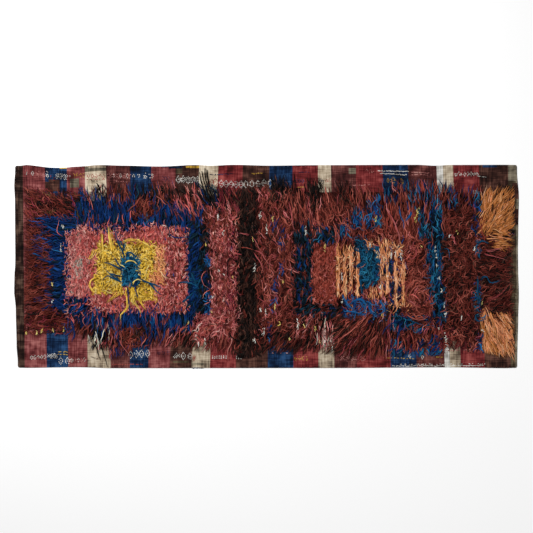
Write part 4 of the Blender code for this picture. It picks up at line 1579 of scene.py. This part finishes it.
@dataclass(frozen=True)
class Owners:
    """Says which packed field of pile a place belongs to, by the fields' boxes."""

    names: tuple[str, ...]
    middles: Array
    halves: Array

    @staticmethod
    def from_frame() -> "Owners":
        """Reads the boxes of all the pile's nodes.

        Returns:
            The fields, in the order of their names.
        """
        names = tuple(sorted(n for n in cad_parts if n.startswith(PILE_PREFIX)))
        low = np.array([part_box(name)[0] for name in names])[:, :2]
        high = np.array([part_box(name)[1] for name in names])[:, :2]
        return Owners(names, (low + high) / 2, (high - low) / 2)

    def of(self, places: Array) -> Array:
        """The number of the field whose box holds each place, (place, 2), most deeply."""
        off = np.abs(places[:, None] - self.middles) - self.halves
        return np.argmin(off.max(axis=2), axis=1)


def feed(node: Node, inputs: dict) -> None:
    """Gives a node's inputs their constants and links.

    Args:
        node: the node.
        inputs: by an input's name or number, a constant or another node's output socket.
    """
    for name, given in inputs.items():
        if isinstance(given, NodeSocket):
            node.id_data.links.new(given, node.inputs[name])
        else:
            node.inputs[name].default_value = given


def add_node(tree: NodeTree, kind: str, output: str, inputs: dict | None = None,
             **settings: str | bool) -> NodeSocket:
    """Adds one shader node with its settings, constants and links.

    Args:
        tree: the node tree.
        kind: the node's type name, without "ShaderNode".
        output: the name of the wanted output.
        inputs: as for feed.
        settings: values for the node's own properties.

    Returns:
        The wanted output socket.
    """
    node = tree.nodes.new("ShaderNode" + kind)
    for name, value in settings.items():
        setattr(node, name, value)
    feed(node, inputs or {})
    return node.outputs[output]


def new_material(name: str) -> tuple[Material, NodeTree, Node]:
    """Makes a material with nodes.

    Args:
        name: its name.

    Returns:
        The material, its node tree and its shader.
    """
    made = bpy.data.materials.new(name)
    made.use_nodes = True
    return made, made.node_tree, made.node_tree.nodes["Principled BSDF"]


@dataclass(frozen=True)
class MohairFinish:
    """Dyed mohair, hand spun and left in long locks.

    Mohair's smooth scales give a silky line of light along each lock, with a dull core between the
    fibres, and that sheen is painted into the colour along the fibres. Old yarn has soaked its dye
    unevenly and its tips have faded.

    Attributes:
        fibre_mm: how far apart the fibres show.
        fibre_run_mm: how long they run.
        painted_fibre_sheen: how far they change the shade, a painted sheen along the fibres.
    """

    fibre_mm: float = 0.9
    fibre_run_mm: float = 14.0
    painted_fibre_sheen: float = 0.36
    bump: float = 0.45
    roughness: float = 0.5
    refraction: float = 1.54
    specular: float = 0.045
    sheen: float = 0.03
    sheen_roughness: float = 0.45

    def material(self, dye: Dye) -> Material:
        """Makes the material of one dye.

        Args:
            dye: the yarn's dye.

        Returns:
            The material.
        """
        made, tree, shader = new_material("mohair_" + dye.name.lower())
        shade = add_node(tree, "Attribute", "Fac", attribute_name="shade")
        strand = add_node(tree, "UVMap", "UV", uv_map=STRAND_MAP)
        scale = (1000.0 / self.fibre_mm, 1000.0 / self.fibre_run_mm, 1.0)
        lie = add_node(tree, "Mapping", "Vector", {"Vector": strand, "Scale": scale})
        fibres = add_node(tree, "TexNoise", "Fac", {"Vector": lie, "Scale": 1.0, "Detail": 3.0})
        # Painted sheen: the fibres' noise lightens and darkens the colour in lines along the lock
        painted_fibre_sheen = add_node(tree, "Math", "Value", {0: fibres, 1: self.painted_fibre_sheen, 2: -self.painted_fibre_sheen / 2},
                          operation="MULTIPLY_ADD")
        total = add_node(tree, "Math", "Value", {0: shade, 1: painted_fibre_sheen}, operation="ADD",
                         use_clamp=True)
        colour = add_node(tree, "ValToRGB", "Color", {"Fac": total})
        dye.value.put_on(colour.node.color_ramp)
        bump = add_node(tree, "Bump", "Normal",
                        {"Height": fibres, "Strength": self.bump, "Distance": 0.0006})
        feed(shader, {"Base Color": colour, "Normal": bump, "Roughness": self.roughness,
                      "IOR": self.refraction, "Specular IOR Level": self.specular,
                      "Sheen Weight": self.sheen, "Sheen Roughness": self.sheen_roughness})
        return made


# The scale at which a wave texture has one band to a millimetre
MILLIMETRE_WAVE = 314.0


@dataclass(frozen=True)
class FlatweaveFinish:
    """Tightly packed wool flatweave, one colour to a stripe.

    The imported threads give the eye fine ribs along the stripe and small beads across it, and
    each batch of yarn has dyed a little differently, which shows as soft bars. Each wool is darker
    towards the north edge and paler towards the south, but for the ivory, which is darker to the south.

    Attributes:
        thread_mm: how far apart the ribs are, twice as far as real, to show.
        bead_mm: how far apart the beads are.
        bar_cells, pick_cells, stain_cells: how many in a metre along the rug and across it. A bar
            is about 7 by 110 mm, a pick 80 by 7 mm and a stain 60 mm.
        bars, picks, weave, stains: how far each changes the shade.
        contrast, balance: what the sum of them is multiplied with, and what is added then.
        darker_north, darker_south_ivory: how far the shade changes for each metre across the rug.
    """

    thread_mm: float = 4.0
    bead_mm: float = 5.5
    bar_cells: tuple[float, float, float] = (140.0, 9.0, 1.0)
    pick_cells: tuple[float, float, float] = (12.0, 150.0, 1.0)
    stain_cells: float = 16.0
    bars: float = 0.6
    picks: float = 0.5
    weave: float = 0.16
    stains: float = 0.9
    contrast: float = 1.9
    balance: float = -1.47
    darker_north: float = 0.06
    darker_south_ivory: float = 0.06
    bump: float = 0.6
    roughness: float = 0.88
    specular: float = 0.1

    def material(self, wool: Wool) -> Material:
        """Makes the flatweave of one wool.

        Args:
            wool: the wool.

        Returns:
            The material.
        """
        made, tree, shader = new_material("flatweave_" + wool.name.lower())
        where = add_node(tree, "TexCoord", "Object")
        # Each wool but the ivory gets darker towards the north edge, and the ivory towards the south
        tone = self.darker_south_ivory if wool is Wool.IVORY else -self.darker_north
        slope = add_node(tree, "SeparateXYZ", "Y", {"Vector": where})
        level = add_node(tree, "Math", "Value", {0: slope, 1: tone}, operation="MULTIPLY")
        parts, waves = [], []
        for cells, detail, amount in ((self.pick_cells, 3.0, self.picks),
                                      (self.bar_cells, 4.0, self.bars)):
            lie = add_node(tree, "Mapping", "Vector", {"Vector": where, "Scale": cells})
            noise = {"Vector": lie, "Scale": 1.0, "Detail": detail}
            parts.append((add_node(tree, "TexNoise", "Fac", noise), amount))
        for axis, apart, distortion in (("X", self.thread_mm, 1.2), ("Y", self.bead_mm, 2.0)):
            wave = {"Vector": where, "Scale": MILLIMETRE_WAVE / apart, "Distortion": distortion,
                    "Detail": 1.0}
            waves.append(add_node(tree, "TexWave", "Fac", wave, bands_direction=axis))
        weave = add_node(tree, "Math", "Value", {0: waves[0], 1: waves[1]}, operation="MULTIPLY")
        noise = {"Vector": where, "Scale": self.stain_cells, "Detail": 2.0}
        parts += [(weave, self.weave), (add_node(tree, "TexNoise", "Fac", noise), self.stains)]
        for part, amount in parts:
            level = add_node(tree, "Math", "Value", {0: part, 1: amount, 2: level},
                             operation="MULTIPLY_ADD")
        level = add_node(tree, "Math", "Value", {0: level, 1: self.contrast, 2: self.balance},
                         operation="MULTIPLY_ADD", use_clamp=True)
        colour = add_node(tree, "ValToRGB", "Color", {"Fac": level})
        wool.value.put_on(colour.node.color_ramp)
        bump = add_node(tree, "Bump", "Normal",
                        {"Height": weave, "Strength": self.bump, "Distance": 0.0008})
        feed(shader, {"Base Color": colour, "Normal": bump, "Roughness": self.roughness,
                      "Specular IOR Level": self.specular})
        return made


@dataclass
class GroundCloth:
    """The flatwoven ground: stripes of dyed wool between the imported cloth's own edges.

    Attributes:
        column_step: the widest face along the rug, in metres.
        rows: faces across the rug.
        edge: how far inside its border the cloth has its full thickness.
        border: the height of the rounded border, as a share of the thickness.
        waver: how far the top is uneven, in metres.
        end_width: the least width of the stripes at the two ends.
        corner: the radius of the rounded corners.
        slack: how far the wavy edges may be off the cloth's box.
    """

    column_step: float = 0.022
    rows: int = 68
    edge: float = 0.005
    border: float = 0.5
    waver: float = 0.0004
    end_width: float = 0.012
    corner: float = 0.010
    slack: float = 0.035

    def outline(self) -> dict[str, tuple[Array, Array]]:
        """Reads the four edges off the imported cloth.

        Returns:
            For north and south, the X and Y of the edge by rising X; for west and east, the Y
            and X by rising Y.
        """
        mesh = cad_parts[CLOTH_NODE].data
        points = np.zeros(len(mesh.vertices) * 3, np.float32)
        mesh.vertices.foreach_get("co", points)
        ring = np.unique(np.round(points.reshape(-1, 3)[:, :2].astype(float), 5), axis=0)
        inside = np.abs(ring).max(axis=0) - self.slack
        sides = {}
        for name, axis, sign in (("north", 0, 1), ("south", 0, -1), ("west", 1, -1), ("east", 1, 1)):
            side = ring[sign * ring[:, 1 - axis] > inside[1 - axis]]
            side = side[np.abs(side[:, axis]) < inside[axis]]
            side = side[np.argsort(side[:, axis])]
            sides[name] = (side[:, axis], side[:, 1 - axis])
        return sides

    def grid(self) -> tuple[Array, Array, Array]:
        """Lays the top's grid: its columns follow the stripes, its rows follow the edges.

        A place is found from its share across each stripe and its share down the rug. Both
        are carried between the wavy edges in straight lines.

        Returns:
            X and Y of the grid's points, and the stripe of each column of faces.
        """
        sides = self.outline()
        v = np.linspace(0.0, 1.0, self.rows + 1)
        tall = CLOTH_HIGH[1] - CLOTH_LOW[1]
        brim = self.edge / tall
        darned = [row * CHART.square / tall for darn in DARNS for row in (darn.north, darn.south)]
        v = np.unique(np.concatenate((v, darned, [brim, 1.0 - brim])).round(4))
        nominal_y = CLOTH_HIGH[1] - v * tall
        west = np.interp(nominal_y, *sides["west"])
        east = np.interp(nominal_y, *sides["east"])
        borders = np.array([(0.0, 0.0)] + [(s.north, s.south) for s in STRIPES])
        lines = CHART.x(borders[:, 0])[:, None] * (1 - v) + CHART.x(borders[:, 1])[:, None] * v
        lines[0], lines[-1] = west, east
        lines[1:-1] = np.clip(lines[1:-1], west + self.end_width, east - self.end_width)
        xs, stripe = [lines[0]], []
        for number in range(len(STRIPES)):
            left, right = lines[number], lines[number + 1]
            faces = max(2, math.ceil(float((right - left).mean()) / self.column_step))
            xs += [left + (right - left) * share for share in (np.arange(faces) + 1) / faces]
            stripe += [number] * faces
        x = np.array(xs)
        x = np.concatenate((x[:1], x[:1] + self.edge, x[1:-1], x[-1:] - self.edge, x[-1:]))
        stripe = [stripe[0], *stripe, stripe[-1]]
        top, foot = np.interp(x, *sides["north"]), np.interp(x, *sides["south"])
        y = top * (1 - v) + foot * v
        near = np.minimum(x - x[0], x[-1] - x)
        pull = 1 - np.sqrt(1 - (np.clip(self.corner - near, 0.0, self.corner) / self.corner) ** 2)
        y = np.where(v < 0.5, y - self.corner * (1 - v) ** 24 * pull,
                     y + self.corner * v ** 24 * pull)
        return x, y, np.array(stripe)

    def build(self, finish: FlatweaveFinish) -> Object:
        """Builds the cloth as one closed sheet and dresses it.

        Args:
            finish: the flatweave's finish.

        Returns:
            The cloth.
        """
        x, y, stripe = self.grid()
        z = CLOTH_TOP - self.waver + self.waver * PILE.lumps(x * 0.8, y * 0.8) * 0.9
        z = np.minimum(z, CLOTH_TOP)
        z[[0, -1]] = CLOTH_TOP * self.border
        z[:, [0, -1]] = CLOTH_TOP * self.border
        index = np.arange(x.size).reshape(x.shape)
        quads = np.stack((index[:-1, :-1], index[:-1, 1:], index[1:, 1:], index[1:, :-1]), -1)
        lines, rows = x.shape
        ring = np.concatenate((index[:-1, 0], index[-1, :-1], index[:0:-1, -1], index[0, :0:-1]))
        foot = np.arange(len(ring)) + x.size
        after = np.roll(np.arange(len(ring)), -1)
        wall = np.stack((ring, ring[after], foot[after], foot), -1)
        rim = np.stack((x.ravel()[ring], y.ravel()[ring], np.zeros(len(ring))), -1)
        points = np.concatenate((np.stack((x, y, z), -1).reshape(-1, 3), rim))
        wools = sorted({s.wool for s in STRIPES} | {d.wool for d in DARNS}, key=WOOLS.index)
        slot = np.array([wools.index(STRIPES[number].wool) for number in stripe])
        slots = np.repeat(slot[:, None], quads.shape[1], axis=1)
        middle = points[quads].mean(axis=2)
        column, row = CHART.column(middle[..., 0]), CHART.row(middle[..., 1])
        for darn in DARNS:
            slots[darn.holds(column, row)] = wools.index(darn.wool)
        wall_slot = np.concatenate((slot, np.full(rows - 1, slot[-1]),
                                    slot[::-1], np.full(rows - 1, slot[0])))
        faces = [quads.reshape(-1, 4), wall, *self.underside(foot, lines, rows)]
        shell = Shell(points, faces, {},
                      [slots.ravel(), wall_slot, slot[1:-1], slot[:1], slot[-1:]],
                      np.full(len(points), 0.5))
        cloth = shell.to_object("ground_flatweave", [finish.material(wool) for wool in wools])
        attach(cloth, "root")
        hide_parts(CLOTH_NODE)
        LOG.info("ground cloth: %d faces", len(cloth.data.polygons))
        return cloth

    @staticmethod
    def underside(foot: Array, lines: int, rows: int) -> list[Array]:
        """Closes the cloth from below, one face to each column of the top, so stripes go through.

        The feet run clockwise from the north-west corner. A line's north foot is as many places
        before the north-east corner as its south foot is after the south-east one.

        Args:
            foot: the points under the cloth's edges.
            lines: how many lines the top's grid has along the rug.
            rows: how many points each of them has.

        Returns:
            The inner columns' faces, then the west end's and the east end's.
        """
        north = np.arange(1, lines - 1)
        south = 2 * (lines - 1) + (rows - 1) - north
        inner = foot[np.stack((north[:-1], north[1:], south[1:], south[:-1]), -1)]
        west = foot[np.r_[0, 1, south[0]:len(foot)]]
        east = foot[lines - 2:south[-1] + 1]
        return [inner, west[None], east[None]]


@dataclass
class BrocadeWork:
    """The small figures that stand a thread's thickness over the cloth, stitch by stitch.

    Attributes:
        across: the spacing of stitches along the rug, in chart squares.
        down: their spacing across it.
        long: a stitch's length in metres.
        wide: a stitch's width in metres.
        tall: its height over the cloth in metres.
        sunk: how deep its foot is in the cloth, in metres.
        taper: the width of its top, as a share of its foot's.
    """

    across: float = 0.92
    down: float = 1.15
    long: float = 0.0060
    wide: float = 0.0062
    tall: float = 0.0013
    sunk: float = 0.0006
    taper: float = 0.72
    rng: np.random.Generator = field(default_factory=lambda: np.random.default_rng(SEED + 5))

    def spots(self) -> tuple[Array, Array]:
        """The chart place and the wool of every stitch.

        Returns:
            Places, (stitch, 2), and indices of wools.
        """
        places, wools = [], []
        for row in BROCADES:
            chart = np.array([[mark == "x" for mark in line] for line in row.figure.value])
            down, across = np.nonzero(chart)
            shape = np.stack((across, down), -1) - (np.array(chart.shape[::-1]) - 1) / 2
            span = np.array(row.end) - np.array(row.start)
            count = max(1, round(float(np.hypot(*span)) / row.pitch) + 1)
            share = np.linspace(0.0, 1.0, count)[:, None]
            middles = np.array(row.start) + share * span
            middles = middles + self.rng.normal(0.0, 0.18, middles.shape)
            at = (middles[:, None] + shape * (self.across, self.down)).reshape(-1, 2)
            at = at[self.rng.uniform(size=len(at)) < row.kept]
            places.append(at + self.rng.normal(0.0, 0.10, at.shape))
            wools.append(np.full(len(at), WOOLS.index(row.wool)))
        return np.concatenate(places), np.concatenate(wools)

    def build(self, finish: FlatweaveFinish) -> Object:
        """Builds all the stitches as one piece. Each is a low four-sided loaf on the cloth.

        Args:
            finish: the wool's finish.

        Returns:
            The piece.
        """
        places, wool = self.spots()
        count = len(places)
        turn = self.rng.normal(0.0, 0.35, count)
        size = self.rng.uniform(0.85, 1.2, (count, 1))
        along = np.stack((np.cos(turn), np.sin(turn)), -1) * size * self.long / 2
        aside = np.stack((-np.sin(turn), np.cos(turn)), -1) * size * self.wide / 2
        middle = CHART.places(places)
        corners = ((-1.0, -0.6), (1.0, -0.8), (1.0, 0.6), (-1.0, 0.8))
        foot = [middle + u * along + v * aside for u, v in corners]
        head = [middle + (corner - middle) * self.taper for corner in foot]
        low = np.full((count, 4, 1), CLOTH_TOP - self.sunk)
        high = np.full((count, 4, 1), CLOTH_TOP + self.tall)
        ring = np.concatenate((np.concatenate((np.stack(foot, 1), low), -1),
                               np.concatenate((np.stack(head, 1), high), -1)), axis=1)
        first = (np.arange(count) * 8)[:, None, None]
        k, after = np.arange(4), (np.arange(4) + 1) % 4
        side = np.stack((k, after, after + 4, k + 4), -1)
        lids = np.stack((np.arange(4) + 4, np.arange(4)[::-1]))
        faces = [(first + np.concatenate((side, lids))).reshape(-1, 4)]
        used = sorted({row.wool for row in BROCADES}, key=WOOLS.index)
        slot = np.array([used.index(WOOLS[number]) for number in wool])
        shell = Shell(ring.reshape(-1, 3), faces, {}, [np.repeat(slot, 6)], np.full(count * 8, 0.6))
        work = shell.to_object("brocade_stitches", [finish.material(one) for one in used])
        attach(work, "root")
        LOG.info("brocade: %d stitches", count)
        return work


@dataclass
class LockPile:
    """The whole pile: locks of every patch, single strands, flecks and felt, field by field."""

    form: LockForm = field(default_factory=LockForm)
    felt: Felt = field(default_factory=Felt)

    def build(self, finish: MohairFinish) -> None:
        """Builds one piece for each packed field of pile, in the field's place.

        Args:
            finish: the mohair's finish.
        """
        planting = Planting()
        locks = joined(planting.patches() + planting.strands() + planting.flecks())
        owners = Owners.from_frame()
        felts = self.felt.shells(owners)
        materials = [finish.material(dye) for dye in DYES]
        owner = [owners.of(group.middle) for group in locks]
        for number, name in enumerate(owners.names):
            mine = [group.pick(own == number) for group, own in zip(locks, owner)]
            mine = [group for group in mine if len(group.width)]
            shell = self.joined_shell(mine, felts[name], np.random.default_rng(SEED + number))
            piece = shell.to_object(name.replace(PILE_PREFIX, "locks_"), materials)
            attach(piece, "root")
            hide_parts(name)
            LOG.info("%s: %d locks", piece.name, sum(len(group.width) for group in mine))

    def joined_shell(self, groups: list[Locks], felt: Shell, rng: np.random.Generator) -> Shell:
        """Skins a field's groups of locks, each lock in its own atlas cell, over its felt.

        Args:
            groups: the field's locks.
            felt: the field's felt.
            rng: for the locks' twists.

        Returns:
            One shell.
        """
        total = sum(len(group.width) for group in groups)
        across = max(1, math.ceil(math.sqrt(total * 4.5)))
        cells = (across, max(1, math.ceil(total / across)))
        order = np.arange(total)
        shells, start = [felt], 0
        for group in groups:
            count = len(group.width)
            shells.append(self.form.shell(group, rng, order[start:start + count], cells))
            start += count
        return Shell.merged(shells)


WHITE = hex_to_linear("ffffff")


@dataclass(frozen=True)
class Studio:
    """A pale floor, soft light from above and a long lens that looks straight down.

    Attributes:
        view: how many metres the picture is wide at the rug.
        rise: the camera's height in metres.
        sensor: the camera's sensor width in millimetres.
        daylight: the strength of the light from all round.
        glow: the strength of the floor's own light.
        half_floor: half the side of the floor in metres.
        drop: how far the floor lies under the rug, in metres.
    """

    view: float = 3.198
    rise: float = 9.0
    sensor: float = 36.0
    daylight: float = 0.265
    glow: float = 0.135
    half_floor: float = 40.0
    drop: float = 0.0006

    def floor(self) -> None:
        """Lays the floor just under the rug."""
        points = [(x * self.half_floor, y * self.half_floor, -self.drop)
                  for x, y in ((-1, -1), (1, -1), (1, 1), (-1, 1))]
        mesh = bpy.data.meshes.new("floor")
        mesh.from_pydata(points, [], [(0, 1, 2, 3)])
        # Matt paint gives the eye an even white with no shine and soft shadows
        made, _, shader = new_material("matt_white_paint")
        feed(shader, {"Base Color": hex_to_linear("fafafa"), "Emission Color": WHITE,
                      "Emission Strength": self.glow, "Roughness": 0.9})
        mesh.materials.append(made)
        floor = bpy.data.objects.new("floor", mesh)
        bpy.context.scene.collection.objects.link(floor)

    def lamp(self, name: str, place: tuple[float, float, float], size: float, power: float) -> None:
        """Hangs one square area lamp that faces the rug's middle.

        Args:
            name: the lamp's name.
            place: where it hangs.
            size: the length of its sides.
            power: its power in watts.
        """
        data = bpy.data.lights.new(name, "AREA")
        data.shape, data.size, data.energy = "SQUARE", size, power
        lamp = bpy.data.objects.new(name, data)
        x, y, z = place
        lamp.location = place
        lamp.rotation_euler = (math.atan2(math.hypot(x, y), z), 0.0, math.atan2(y, x) + math.pi / 2)
        bpy.context.scene.collection.objects.link(lamp)

    def build(self) -> None:
        """Sets up the floor, the lamps, the surrounding light and the camera."""
        scene = bpy.context.scene
        self.floor()
        self.lamp("key", (-2.4, 2.6, 4.2), 1.8, 238.0)
        self.lamp("fill", (2.8, -1.6, 4.6), 3.2, 73.0)
        world = bpy.data.worlds.new("soft_studio")
        world.use_nodes = True
        feed(world.node_tree.nodes["Background"], {"Color": WHITE, "Strength": self.daylight})
        scene.world = world
        scene.view_settings.view_transform = "Standard"
        data = bpy.data.cameras.new("straight_down")
        data.sensor_width = self.sensor
        data.lens = self.sensor * self.rise / self.view
        camera = bpy.data.objects.new("straight_down", data)
        camera.location = (0.0, 0.0, self.rise)
        scene.collection.objects.link(camera)
        scene.camera = camera


def main() -> None:
    """Builds the cloth, its figures, the pile and the studio, and reports each piece."""
    logging.basicConfig(level=logging.INFO, format="%(name)s: %(message)s")
    flatweave = FlatweaveFinish()
    cloth = GroundCloth().build(flatweave)
    stitches = BrocadeWork().build(flatweave)
    LockPile().build(MohairFinish())
    Studio().build()


if __name__ == "__main__":
    main()
